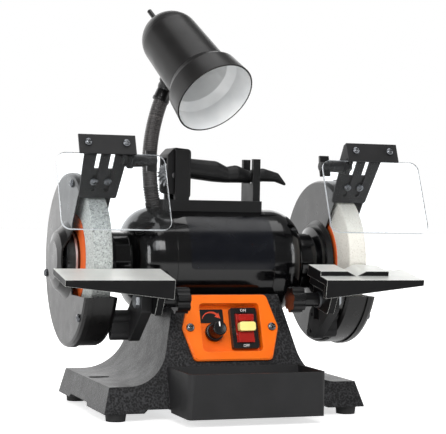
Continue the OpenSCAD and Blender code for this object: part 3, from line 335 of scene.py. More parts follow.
@dataclass(frozen=True)
class Abrasive(Finish):
    """Bonded abrasive: close-packed grains of three tones, dull, with painted shade in the pores between
    them.
    """

    pore_shade_colour: str = "#5c5e5c"

    def grains(self, tree: Tree, place: Wire) -> Node:
        """Cells the size of the grains."""
        return add(tree, "ShaderNodeTexVoronoi", {"Vector": place, "Scale": 1000 / self.grain})

    def tint(self, tree: Tree, place: Wire) -> Wire:
        """Gives each grain its own tone, and darkens the pores with painted shade.

        Args:
            tree: The material's tree.
            place: The object coordinates.

        Returns:
            The colour.
        """
        cells = self.grains(tree, place)
        tone = add(tree, "ShaderNodeSeparateColor", {0: cells.outputs["Color"]})
        mixed = add(tree, "ShaderNodeMix", {
            "Factor": tone, 6: linear(self.colour), 7: linear(self.shade)}, data_type="RGBA").outputs[2]
        pores = add(tree, "ShaderNodeMapRange", {
            "Value": self.noise(tree, place, self.grain * 2.2, 2.0), "From Min": 0.56, "From Max": 0.7,
            "To Max": 0.7})
        return add(tree, "ShaderNodeMix", {
            "Factor": pores, 6: mixed, 7: linear(self.pore_shade_colour)}, data_type="RGBA").outputs[2]

    def height(self, tree: Tree, place: Wire) -> Wire:
        """The grains stand out of the bond."""
        return self.grains(tree, place).outputs["Distance"]


@dataclass(frozen=True)
class Machined(Finish):
    """Metal with the fine parallel marks of a cutter that ran along one axis."""

    along: Point = (1.0, 0.0, 0.0)
    mark: float = 0.9

    def marks(self, tree: Tree, place: Wire) -> Wire:
        """A noise drawn out along the cutter's path.

        Args:
            tree: The material's tree.
            place: The object's own coordinates.

        Returns:
            The strength of the marks at each point.
        """
        scale = [1000 / self.mark * (0.02 if axis else 1.0) for axis in self.along]
        drawn = add(tree, "ShaderNodeMapping", {"Vector": place, "Scale": scale})
        return add(tree, "ShaderNodeTexNoise", {"Vector": drawn, "Scale": 1.0, "Detail": 3.0}).outputs[0]

    def gloss(self, tree: Tree, place: Wire) -> Wire:
        """The marks catch the light line by line.

        Args:
            tree: The material's tree.
            place: The object's own coordinates.

        Returns:
            The roughness at each point.
        """
        return add(tree, "ShaderNodeMapRange", {
            "Value": self.marks(tree, place), "From Min": 0.3, "From Max": 0.7,
            "To Min": self.roughness - self.smear, "To Max": self.roughness + self.smear}).outputs[0]

    def height(self, tree: Tree, place: Wire) -> Wire:
        """The height of the marks."""
        return self.marks(tree, place)


@dataclass(frozen=True)
class Clear(Finish):
    """A cast clear sheet: it lets light through and shows itself by its gloss."""

    through: float = 1.0
    ior: float = 1.49

    def extra(self, tree: Tree, place: Wire, shader: Node) -> None:
        """Light goes through it and bends as in the real sheet."""
        shader.inputs["Transmission Weight"].default_value = self.through
        shader.inputs["IOR"].default_value = self.ior


@dataclass(frozen=True)
class PaintedGlowEdge(Finish):
    """The edge of a clear sheet with a painted glow: it gives off light of its own, which stands in for the
    light that the sheet gathers over its face.
    """

    glow: float = 0.4

    def extra(self, tree: Tree, place: Wire, shader: Node) -> None:
        """The painted glow."""
        shader.inputs["Emission Color"].default_value = linear(self.colour)
        shader.inputs["Emission Strength"].default_value = self.glow


@dataclass(frozen=True)
class BandedFlange(Finish):
    """Black flange whose rim was turned bright after painting, over a band along the spindle."""

    band_colour: str = "#c9ccd0"
    band_low: float = 148.6
    band_high: float = 150.6
    turned: float = 0.45

    def band(self, tree: Tree, place: Wire) -> Wire:
        """Finds the turned band of either flange.

        Args:
            tree: The material's tree.
            place: The object coordinates.

        Returns:
            1 on the band and 0 elsewhere.
        """
        x = add(tree, "ShaderNodeSeparateXYZ", {0: place})
        out = add(tree, "ShaderNodeMath", {0: x}, operation="ABSOLUTE")
        middle, half = (self.band_low + self.band_high) / 2 * MM, (self.band_high - self.band_low) / 2 * MM
        return add(tree, "ShaderNodeMath", {0: out, 1: middle, 2: half}, operation="COMPARE").outputs[0]

    def tint(self, tree: Tree, place: Wire) -> Wire:
        """Paint with the bright band through it.

        Args:
            tree: The material's tree.
            place: The object's own coordinates.

        Returns:
            The colour at each point.
        """
        return add(tree, "ShaderNodeMix", {
            "Factor": self.band(tree, place), 6: super().tint(tree, place), 7: linear(self.band_colour),
        }, data_type="RGBA").outputs[2]

    def extra(self, tree: Tree, place: Wire, shader: Node) -> None:
        """Makes the band bare metal, finely turned.

        Args:
            tree: The material's tree.
            place: The object coordinates.
            shader: The surface shader.
        """
        band = self.band(tree, place)
        gloss = add(tree, "ShaderNodeMapRange", {
            "Value": band, "To Min": self.roughness, "To Max": self.turned})
        tree.links.new(band, shader.inputs["Metallic"])
        tree.links.new(gloss.outputs[0], shader.inputs["Roughness"])


# Hammer-finish enamel over a sand-cast base: black, with grey glints painted as highlights on the rim of
# every dimple and a painted highlight on its edges
HAMMERED_ENAMEL = HammerFinish(
    "hammered_black_enamel", "#0b0b0c", "#111112", 0.4, specular=0.24, coat=0.05, coat_roughness=0.25,
    grain=1.9, grain_depth=0.22, edge=1.2, edge_highlight_colour="#343435", edge_highlight_share=0.35)
# Stoved gloss enamel on the motor: deep black with sharp reflections and a slight orange peel
GLOSS_ENAMEL = Finish(
    "stoved_gloss_black_enamel", "#060607", "#080809", 0.14, specular=0.35, coat=0.25, coat_roughness=0.05,
    grain=5.0, grain_depth=0.012, edge=0.8)
# Semi-gloss enamel on pressed sheet guards: wide soft reflections that turn to grey at a flat angle
GUARD_ENAMEL = Finish(
    "pressed_sheet_black_enamel", "#0b0a0a", "#0f0e0e", 0.3, specular=0.35, coat=0.12, coat_roughness=0.14,
    grain=2.4, grain_depth=0.012, edge=0.6)
# Fine-texture powder coat on brackets and deflectors: near black, dull, with a fine peel and a painted
# highlight on its edges
POWDER_COAT = Finish(
    "fine_texture_black_powder_coat", "#141415", "#1a1a1b", 0.52, specular=0.3, grain=0.7, grain_depth=0.06,
    edge=0.4, edge_highlight_colour="#4a4a4c", edge_highlight_share=0.35)
# Powder coat over sand-cast iron, on the dresser and its cradle: the casting's lumps show through, and its
# edges carry a painted highlight
CAST_COAT = Finish(
    "cast_black_powder_coat", "#0c0c0d", "#121213", 0.46, specular=0.28, grain=1.3, grain_depth=0.1,
    edge=0.8, edge_highlight_colour="#525254", edge_highlight_share=0.4)
# Satin paint on the cast rests, with a pale painted highlight along its edges
REST_PAINT = Finish(
    "rubbed_black_paint_on_cast_rest", "#0a0a0b", "#0f0f10", 0.42, specular=0.14, grain=1.6,
    grain_depth=0.06, edge=0.8, edge_highlight_colour="#dfe0dc", edge_highlight_share=0.9)
# Injection-moulded ABS, orange: satin, with a faint moulded grain and a paler painted highlight on its edges
ORANGE_ABS = Finish(
    "moulded_orange_abs", "#fa6c04", "#fb740c", 0.36, specular=0.3, coat=0.05, coat_roughness=0.2,
    grain=0.9, grain_depth=0.008, edge=0.7, edge_highlight_colour="#ff9a4a", edge_highlight_share=0.6)
# Moulded polypropylene tray: matt black-grey, with a painted highlight on its edges
TRAY_PP = Finish(
    "moulded_black_polypropylene", "#19191a", "#1e1e1f", 0.55, specular=0.3, grain=0.8, grain_depth=0.015,
    edge=0.8, edge_highlight_colour="#39393a", edge_highlight_share=0.5)
# Moulded rubber of the feet and the gland: dull and almost without reflections
RUBBER = Finish("moulded_black_rubber", "#131314", "#1b1b1c", 0.72, grain=0.9, grain_depth=0.03, edge=0.6)
# Moulded ABS of knobs and switch parts: black with a satin shine
BLACK_ABS = Finish("moulded_black_abs", "#0b0b0c", "#101011", 0.3, specular=0.4, grain=0.9, grain_depth=0.008)
# Moulded polycarbonate paddle and ABS key: coloured through, smooth and slightly glossy, with paler painted
# highlights on their edges
RED_ABS = Finish(
    "moulded_red_polycarbonate", "#9c140e", "#a81a12", 0.28, specular=0.35, coat=0.15, edge=0.6,
    edge_highlight_colour="#e0503f")
YELLOW_ABS = Finish(
    "moulded_yellow_abs", "#fbea86", "#fdf094", 0.34, coat=0.2, edge=0.8, edge_highlight_colour="#fff2a8")
# Zinc-plated steel sheet: cool silver, satin
ZINC = Finish(
    "zinc_plated_steel", "#b4b8bc", "#c2c6ca", 0.32, metallic=1.0, wander=9.0, edge=0.3, grain=0.8,
    grain_depth=0.01)
# Black-oxide screws: dark metal, with a painted highlight on their turned edges
BLACK_OXIDE = Finish(
    "black_oxide_steel", "#55575a", "#6a6c70", 0.22, metallic=0.9, edge=0.3, edge_highlight_colour="#d4d7da",
    edge_highlight_share=0.8)
# Turned shaft and nuts: bright, with sharp streaks
BRIGHT_STEEL = Finish("turned_bright_steel", "#c4c6c8", "#cfd1d3", 0.22, metallic=1.0, wander=12.0, edge=0.4)
# Hardened and tempered cutters: a duller grey metal
CUTTER_STEEL = Finish("hardened_cutter_steel", "#9a9b9d", "#b0b1b3", 0.34, metallic=1.0, wander=6.0, edge=0.3)
# Inside the motor and the base: varnished sheet steel, lacquered copper and a green circuit board
LAMINATION = Finish("varnished_motor_lamination", "#8a8b8e", "#77787b", 0.42, metallic=1.0, edge=0.3)
COPPER = Finish(
    "enamelled_copper_winding", "#b4662c", "#8e4a1e", 0.38, metallic=1.0, grain=0.8, grain_depth=0.15)
CIRCUIT = Finish("circuit_board", "#1d5a30", "#24683a", 0.4, edge=0.2)
# Vitrified wheels: grey aluminium oxide of about 36 grit (0.5 mm) and white of about 60 grit (0.25 mm), both
# drawn two to three times as coarse as real so that the grains show, with painted shade in their pores
GREY_GRIT = Abrasive(
    "vitrified_grey_aluminium_oxide", "#cdd1ce", "#9da19f", 0.86, grain=1.1, grain_depth=0.3, edge=0.9,
    pore_shade_colour="#585a59")
WHITE_GRIT = Abrasive(
    "vitrified_white_aluminium_oxide", "#f8f5ec", "#efebe1", 0.84, grain=0.8, grain_depth=0.2, edge=0.9,
    pore_shade_colour="#d8d2c6")
# Blotting card between wheel and flange: dull, slightly fibrous
BLOTTER = Finish("orange_blotting_card", "#e4641c", "#da5814", 0.8, grain=1.2, grain_depth=0.03, edge=0.2)
# Gloss enamel on the flanges with a turned rim
FLANGE = BandedFlange("gloss_black_flange_with_turned_band", "#0d0d0e", "#121213", 0.2, coat=0.5, edge=0.6)
# Milled cast aluminium on top of the rests: pale, with fine marks along X
MILLED_TOP = Machined(
    "milled_cast_aluminium", "#eeefeb", "#f6f7f3", 0.42, metallic=0.45, smear=0.1, grain=0.9,
    grain_depth=0.012, edge=0.4)
# Cast polycarbonate: clear over the face, with a pale rim that glows with painted light
CLEAR_SHEET = Clear("cast_clear_polycarbonate", "#f6f9fb", "#f6f9fb", 0.03, edge=0.6, smear=0.01)
GLOWING_CLEAR_RIM = PaintedGlowEdge("flame_polished_sheet_edge", "#a9adb1", "#b6babe", 0.25, glow=0.24, edge=0.5)
# Satin enamel of the lamp shade, and the white vitreous enamel inside it
SHADE_ENAMEL = Finish(
    "satin_black_shade_enamel", "#141313", "#181717", 0.36, specular=0.26, coat=0.05, coat_roughness=0.25,
    grain=2.0, grain_depth=0.008)
WHITE_ENAMEL = Finish(
    "white_reflector_enamel", "#e9eaea", "#dfe1e2", 0.2, coat=0.5, coat_roughness=0.08, grain=6.0,
    grain_depth=0.03, edge=0.4)
# Glazed porcelain of the bulb socket: creamy white with a wet shine
PORCELAIN = Finish("glazed_porcelain", "#e4e3de", "#edece8", 0.25, coat=0.4)
# Extruded PVC over the spring of the neck: satin, with a paler painted highlight on its crests
HOSE_PVC = Finish(
    "extruded_black_pvc", "#1a1818", "#242121", 0.4, specular=0.5, coat=0.15, edge_highlight_colour="#8d8785",
    edge_highlight_share=0.8)
# Blank film where a plate would be: navy black and satin
LABEL_FILM = Finish(
    "blank_navy_film", "#080a10", "#0a0c13", 0.24, specular=0.25, coat=0.05, coat_roughness=0.12, edge=0.05)
# Screen-printed inks: flat and matt
ARROW_INK = Finish("screen_printed_orange_red_ink", "#e2431c", "#e94e22", 0.5, edge=0.05)
WHITE_INK = Finish("screen_printed_white_ink", "#f0f0ee", "#ffffff", 0.5, edge=0.05)

# Each slot of the record and the finish that its nodes and pieces take
SLOT_FINISH = {
    "casting_paint": HAMMERED_ENAMEL, "foot_rubber": RUBBER, "zinc_sheet": ZINC, "gland_rubber": RUBBER,
    "circuit_board": CIRCUIT, "tray_black": TRAY_PP, "panel_orange": ORANGE_ABS, "black_screw": BLACK_OXIDE,
    "dial_black": BLACK_ABS, "pot_metal": ZINC, "knob_black": BLACK_ABS, "switch_black": BLACK_ABS,
    "paddle_red": RED_ABS, "key_yellow": YELLOW_ABS, "motor_black": GLOSS_ENAMEL, "bell_black": GLOSS_ENAMEL,
    "lamination": LAMINATION, "bright_steel": BRIGHT_STEEL, "flange_black": FLANGE, "blotter_orange": BLOTTER,
    "grey_grit": GREY_GRIT, "white_grit": WHITE_GRIT, "guard_black": GUARD_ENAMEL, "screw_zinc": ZINC,
    "sheet_black": POWDER_COAT, "clear_sheet": CLEAR_SHEET, "wing_black": BLACK_ABS, "rest_alloy": REST_PAINT,
    "cradle_black": CAST_COAT, "dresser_black": CAST_COAT, "cutter_steel": CUTTER_STEEL,
    "neck_black": HOSE_PVC, "shade_black": SHADE_ENAMEL, "socket_white": PORCELAIN, "stem_black": BLACK_ABS,
}
SLOT_OF = {row["node"]: row["material_slot"] for row in frame["record"]["subparts"]}


def dress(node: str) -> None:
    """Gives a CAD node the finish of its slot.

    Args:
        node: The node's name.
    """
    mesh = frame["nodes"][node].data
    mesh.materials.clear()
    mesh.materials.append(SLOT_FINISH[SLOT_OF[node]].material())
    log.info("dressed node %s", node)


def dress_faces(node: str, other: Finish, rule: Callable[[Vector, Vector], bool]) -> None:
    """Gives some faces of a CAD node a second finish.

    Args:
        node: The CAD node, which keeps its slot's finish elsewhere.
        other: The second finish.
        rule: Takes a face's normal and its middle in millimetres, and says whether it gets the second finish.
    """
    dress(node)
    mesh = frame["nodes"][node].data
    mesh.materials.append(other.material())
    for face in mesh.polygons:
        face.material_index = int(rule(face.normal, face.center / MM))


# ---------- making meshes ----------


def seat(origin: Point, out: Point = (0, 0, 1), right: Point = (1, 0, 0)) -> Matrix:
    """A local frame for drawing a piece: it turns local millimetres to metres in the grinder's frame.

    Args:
        origin: Where the local origin sits, in millimetres.
        out: The direction of local Z.
        right: The direction of local X, made square to out.

    Returns:
        The 4 by 4 matrix.
    """
    z = Vector(out).normalized()
    x = (Vector(right) - Vector(right).dot(z) * z).normalized()
    turn = Matrix((x, z.cross(x), z)).transposed().to_4x4()
    return Matrix.Scale(MM, 4) @ Matrix.Translation(origin) @ turn


class Form:
    """Gathers the rings and faces of one piece and makes it an object that sits at the origin."""

    def __init__(self, name: str, place: Matrix | None = None) -> None:
        """Starts an empty piece.

        Args:
            name: The object's name.
            place: The local frame of its points, or None for the grinder's frame in millimetres.
        """
        self.name = name
        self.place = place or Matrix.Scale(MM, 4)
        self.mesh = bmesh.new()

    def ring(self, points: Iterable[Sequence[float]]) -> list[bmesh.types.BMVert]:
        """Adds points and returns them."""
        return [self.mesh.verts.new(self.place @ Vector(p)) for p in points]

    def bridge(self, one: list, two: list) -> None:
        """Joins two closed rings of the same count with quads, or a ring to a single point with triangles.

        Args:
            one: The first ring, or a single point.
            two: The second ring, or a single point.
        """
        if len(one) == 1 or len(two) == 1:
            tip, loop = (one[0], two) if len(one) == 1 else (two[0], one)
            for i in range(len(loop)):
                self.mesh.faces.new((tip, loop[i], loop[(i + 1) % len(loop)]))
            return
        for i in range(len(one)):
            j = (i + 1) % len(one)
            self.mesh.faces.new((one[i], one[j], two[j], two[i]))

    def lathe(self, profile: Sequence[Flat], steps: int = 64,
              wave: Callable[[float], float] | None = None) -> None:
        """Turns an outline about local Z. An end at radius 0 closes in a pole.

        Args:
            profile: (radius, height) points from one end to the other.
            steps: Points round the axis.
            wave: Scales the radius at an angle, for flutes.
        """
        rings = []
        for radius, height in profile:
            if radius < 1e-6:
                rings.append(self.ring([(0, 0, height)]))
                continue
            turns = [2 * math.pi * i / steps for i in range(steps)]
            rings.append(self.ring(
                (radius * k * math.cos(a), radius * k * math.sin(a), height)
                for a in turns for k in [wave(a) if wave else 1.0]))
        for one, two in zip(rings, rings[1:]):
            self.bridge(one, two)
        if profile[0] == profile[-1]:
            bmesh.ops.remove_doubles(self.mesh, verts=rings[0] + rings[-1], dist=1e-7)

    def prism(self, outline: Sequence[Flat], low: float, high: float) -> None:
        """Extrudes a flat outline along local Z and closes both ends."""
        self.loft([[(x, y, z) for x, y in outline] for z in (low, high)])

    def loft(self, loops: Sequence[Sequence[Point]]) -> None:
        """Joins two or more loops of as many points, one after the other, and closes both ends.

        Args:
            loops: The loops, in local millimetres.
        """
        rings = [self.ring(loop) for loop in loops]
        for one, two in zip(rings, rings[1:]):
            self.bridge(one, two)
        for ring in (rings[0], rings[-1]):
            self.mesh.faces.new(ring)

    def plain(self) -> Piece:
        """Turns the form into an object with its faces outwards, not linked to the scene.

        Returns:
            The object.
        """
        bmesh.ops.recalc_face_normals(self.mesh, faces=self.mesh.faces)
        data = bpy.data.meshes.new(self.name)
        self.mesh.to_mesh(data)
        self.mesh.free()
        return bpy.data.objects.new(self.name, data)

    def done(self, finish: Finish, body: str, bevel: float = 0.0) -> Piece:
        """Makes the object and settles it, as settle() says."""
        return settle(self.plain(), finish, body, bevel)


def settle(piece: Piece, finish: Finish, body: str, bevel: float = 0.0) -> Piece:
    """Links a piece, smooths it, gives it its finish and its body, and reports it.

    Args:
        piece: An object at the origin with a mesh.
        finish: Its finish.
        body: The CAD body it moves with, or an empty name for none.
        bevel: Width in millimetres of a bevel on sharp edges.

    Returns:
        The piece.
    """
    if piece.name not in bpy.context.scene.collection.objects:
        link(piece)
    piece.data.materials.clear()
    piece.data.materials.append(finish.material())
    if bevel:
        rounding = piece.modifiers.new("rounding", "BEVEL")
        rounding.width = bevel * MM
        rounding.segments = 3
        rounding.limit_method = "ANGLE"
        rounding.angle_limit = CREASE
        bake(piece)
    piece.data.polygons.foreach_set("use_smooth", [True] * len(piece.data.polygons))
    piece.data.set_sharp_from_angle(angle=CREASE)
    if body:
        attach(piece, body)
    log.info("made piece %s, %d faces", piece.name, len(piece.data.polygons))
    return piece


def link(thing: Piece) -> None:
    """Puts an object in the scene."""
    bpy.context.scene.collection.objects.link(thing)


def evaluated(piece: Piece) -> bpy.types.Mesh:
    """The plain mesh of an object with its modifiers run."""
    bpy.context.view_layer.update()
    return bpy.data.meshes.new_from_object(piece.evaluated_get(bpy.context.evaluated_depsgraph_get()))


def bake(piece: Piece) -> None:
    """Turns an object's modifiers into its plain mesh.

    Args:
        piece: The object, which is in the scene.
    """
    data = evaluated(piece)
    piece.modifiers.clear()
    piece.data = data


# ---------- geometry nodes ----------


@dataclass(frozen=True)
class Sockets:
    """Named inputs of a geometry tree, as name to socket kind."""

    kinds: dict[str, str]

    def start(self, name: str) -> Tree:
        """Makes a tree with a geometry input, these inputs and a geometry output.

        Args:
            name: The tree's name.

        Returns:
            The tree.
        """
        tree = bpy.data.node_groups.new(name, "GeometryNodeTree")
        tree.interface.new_socket("Geometry", in_out="INPUT", socket_type="NodeSocketGeometry")
        for key, kind in self.kinds.items():
            tree.interface.new_socket(key, in_out="INPUT", socket_type=kind)
        tree.interface.new_socket("Geometry", in_out="OUTPUT", socket_type="NodeSocketGeometry")
        return tree


def run_tree(holder: Piece, tree: Tree, values: dict) -> None:
    """Runs a geometry tree on an object and keeps the result as its plain mesh.

    Args:
        holder: The object that the tree starts from.
        tree: The tree.
        values: The tree's inputs, by name.
    """
    link(holder)
    grow = holder.modifiers.new(tree.name, "NODES")
    grow.node_group = tree
    for item in tree.interface.items_tree:
        if item.item_type == "SOCKET" and item.in_out == "INPUT" and item.name in values:
            grow[item.identifier] = values[item.name]
    bake(holder)


def clad(tree: Tree, shape: Wire) -> Tree:
    """Ends a tree: the shape is made real and takes the tree's material.

    Args:
        tree: A tree with an input named Material.
        shape: The geometry so far.

    Returns:
        The tree.
    """
    given = add(tree, "NodeGroupInput").outputs
    solid = add(tree, "GeometryNodeRealizeInstances", {"Geometry": shape}).outputs[0]
    dressed = add(tree, "GeometryNodeSetMaterial", {"Geometry": solid, "Material": given["Material"]})
    add(tree, "NodeGroupOutput", {"Geometry": dressed.outputs[0]})
    return tree


def hose_tree() -> Tree:
    """Builds the tree that wraps a ribbed tube round a path: the radius swells and falls along its length.

    Returns:
        The tree.
    """
    floats = dict.fromkeys(("Radius", "Rib Depth", "Rib Pitch", "Step"), "NodeSocketFloat")
    kinds = {**floats, "Facets": "NodeSocketInt", "Material": "NodeSocketMaterial"}
    tree = Sockets(kinds).start("ribbed_hose")
    given = add(tree, "NodeGroupInput").outputs
    line = add(tree, "GeometryNodeMeshToCurve", {"Mesh": given["Geometry"]})
    fine = add(tree, "GeometryNodeResampleCurve", {"Curve": line, "Length": given["Step"]}, mode="LENGTH")
    along = add(tree, "GeometryNodeSplineParameter").outputs["Length"]
    turns = add(tree, "ShaderNodeMath", {0: along, 1: given["Rib Pitch"]}, operation="DIVIDE")
    angle = add(tree, "ShaderNodeMath", {0: turns, 1: 2 * math.pi}, operation="MULTIPLY")
    swell = add(tree, "ShaderNodeMath", {0: angle}, operation="COSINE")
    dip = add(tree, "ShaderNodeMapRange", {
        "Value": swell, "From Min": -1.0, "From Max": 0.4, "To Min": -1.0, "To Max": 0.0})
    radius = add(tree, "ShaderNodeMath", {0: dip, 1: given["Rib Depth"], 2: given["Radius"]},
                 operation="MULTIPLY_ADD")
    ribbed = add(tree, "GeometryNodeSetCurveRadius", {"Curve": fine, "Radius": radius})
    section = add(tree, "GeometryNodeCurvePrimitiveCircle", {"Resolution": given["Facets"], "Radius": 1.0})
    wrap = add(tree, "GeometryNodeCurveToMesh", {
        "Curve": ribbed, "Profile Curve": section, "Fill Caps": True})
    if "Scale" in wrap.inputs:
        tree.links.new(radius.outputs[0], wrap.inputs["Scale"])
    return clad(tree, wrap.outputs[0])


def rows_tree() -> Tree:
    """Builds the tree that sets a small part on every point, its Z along "facing" and turned by "twist".

    Returns:
        The tree.
    """
    tree = Sockets({"Part": "NodeSocketObject", "Material": "NodeSocketMaterial"}).start("parts_on_points")
    given = add(tree, "NodeGroupInput").outputs
    part = add(tree, "GeometryNodeObjectInfo", {"Object": given["Part"]}).outputs["Geometry"]
    facing = add(tree, "GeometryNodeInputNamedAttribute", {"Name": "facing"}, data_type="FLOAT_VECTOR")
    twist = add(tree, "GeometryNodeInputNamedAttribute", {"Name": "twist"}, data_type="FLOAT")
    aim = add(tree, "FunctionNodeAlignRotationToVector", {"Vector": facing}, axis="Z")
    spin = add(tree, "FunctionNodeAxisAngleToRotation", {"Axis": (0, 0, 1), "Angle": twist})
    turned = add(tree, "FunctionNodeRotateRotation", {0: aim, 1: spin}, rotation_space="LOCAL")
    placed = add(tree, "GeometryNodeInstanceOnPoints", {
        "Points": given["Geometry"], "Instance": part, "Rotation": turned}).outputs[0]
    return clad(tree, placed)


HOSE_TREE = hose_tree()
ROWS_TREE = rows_tree()


@dataclass
class Spot:
    """Where one repeated part sits: its point in millimetres, the way it faces and its twist in degrees."""

    at: Point
    facing: Point
    twist: float = 0.0


def set_on(name: str, part: Piece, spots: Sequence[Spot], finish: Finish) -> Piece:
    """Sets a small part on every spot with the geometry tree, as one plain mesh.

    Args:
        name: The new object's name.
        part: The small part, drawn in metres round the origin with Z outwards; it stays for more calls.
        spots: Where it goes.
        finish: The finish.

    Returns:
        The object, linked and at the origin.
    """
    data = bpy.data.meshes.new(name)
    data.from_pydata([Vector(s.at) * MM for s in spots], [], [])
    data.attributes.new("facing", "FLOAT_VECTOR", "POINT")
    data.attributes.new("twist", "FLOAT", "POINT")
    for i, spot in enumerate(spots):
        data.attributes["facing"].data[i].vector = Vector(spot.facing).normalized()
        data.attributes["twist"].data[i].value = math.radians(spot.twist)
    holder = bpy.data.objects.new(name, data)
    link(part)
    run_tree(holder, ROWS_TREE, {"Part": part, "Material": finish.material()})
    bpy.context.scene.collection.objects.unlink(part)
    return holder


@dataclass
class PanScrew:
    """A pan-head screw with a cross recess, in millimetres. Its head stands on the plane of local Z 0."""

    head_d: float
    head_h: float
    shank_d: float
    shank_len: float
    nut_at: float = 0.0
    nut_d: float = 0.0
    nut_h: float = 3.0
    rim_share: float = 0.45
    recess_reach: float = 0.58
    recess_half: float = 0.13
    recess_floor: float = 0.35
    recess_taper: float = 0.55

    def part(self) -> Piece:
        """Builds the screw round the origin, not linked to the scene.

        Returns:
            The screw.
        """
        form = Form("screw_blank")
        r, h, s = self.head_d / 2, self.head_h, self.shank_d / 2
        rim, end = h * self.rim_share, -self.shank_len
        turns = [i * math.pi / 16 for i in range(1, 8)]
        dome = [(r * math.cos(a), rim + (h - rim) * math.sin(a)) for a in turns]
        form.lathe([(0, end), (s - 0.4, end), (s, end + 0.5), (s, 0), (r - 0.15, 0), (r, 0.15), (r, rim),
                    *dome, (0, h)], 40)
        if self.nut_d:
            low, high, n = -self.nut_at - self.nut_h, -self.nut_at, self.nut_d / 2
            form.lathe([(0, low), (n - 0.7, low), (n, low + 0.4), (n, high - 0.4), (n - 0.7, high),
                        (0, high)], 6)
        blank, cutter = form.plain(), self.recess()
        link(blank)
        link(cutter)
        cut = blank.modifiers.new("recess", "BOOLEAN")
        cut.object = cutter
        cut.solver = "EXACT"
        bake(blank)
        bpy.context.scene.collection.objects.unlink(blank)
        bpy.data.objects.remove(cutter)
        return blank

    def recess(self) -> Piece:
        """Builds the cross that is cut into the head, narrower at its floor.

        Returns:
            The cutter, not linked to the scene.
        """
        tool = Form("screw_recess")
        arm, half = self.head_d / 2 * self.recess_reach, self.head_d / 2 * self.recess_half
        corner = [(arm, half), (half, half), (half, arm)]
        cross = [*corner, *[(-x, y) for x, y in corner[::-1]], *[(-x, -y) for x, y in corner],
                 *[(x, -y) for x, y in corner[::-1]]]
        tool.loft([[(x * k, y * k, self.head_h * z) for x, y in cross]
                   for k, z in ((self.recess_taper, self.recess_floor), (1.0, 1.05))])
        return tool.plain()


def fasten(name: str, part: Piece, spots: Sequence[Spot], body: str, node: str) -> None:
    """Sets black cross-recess screws on their spots and lets them stand for a CAD node.

    Args:
        name: The piece's name.
        part: One screw.
        spots: Where they go.
        body: The CAD body they move with.
        node: The CAD node that they replace.
    """
    piece = settle(set_on(name, part, spots, BLACK_OXIDE), BLACK_OXIDE, body)
    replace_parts(piece, node)


# ---------- the studio ----------


@dataclass(frozen=True)
class Softbox:
    """A soft area light, in metres. A radiance of 1 is as bright as white paper."""

    name: str
    at: Point
    width: float
    height: float
    radiance: float
    aim: Point = (0, 0, 0.2)

    def place(self) -> None:
        """Puts the light in the scene, unseen by the camera."""
        lamp = bpy.data.lights.new(self.name, "AREA")
        lamp.shape = "RECTANGLE"
        lamp.size, lamp.size_y = self.width, self.height
        lamp.energy = self.radiance * math.pi * self.width * self.height
        box = bpy.data.objects.new(self.name, lamp)
        box.location = self.at
        box.rotation_euler = (Vector(self.aim) - Vector(self.at)).to_track_quat("-Z", "Y").to_euler()
        box.visible_camera = False
        link(box)


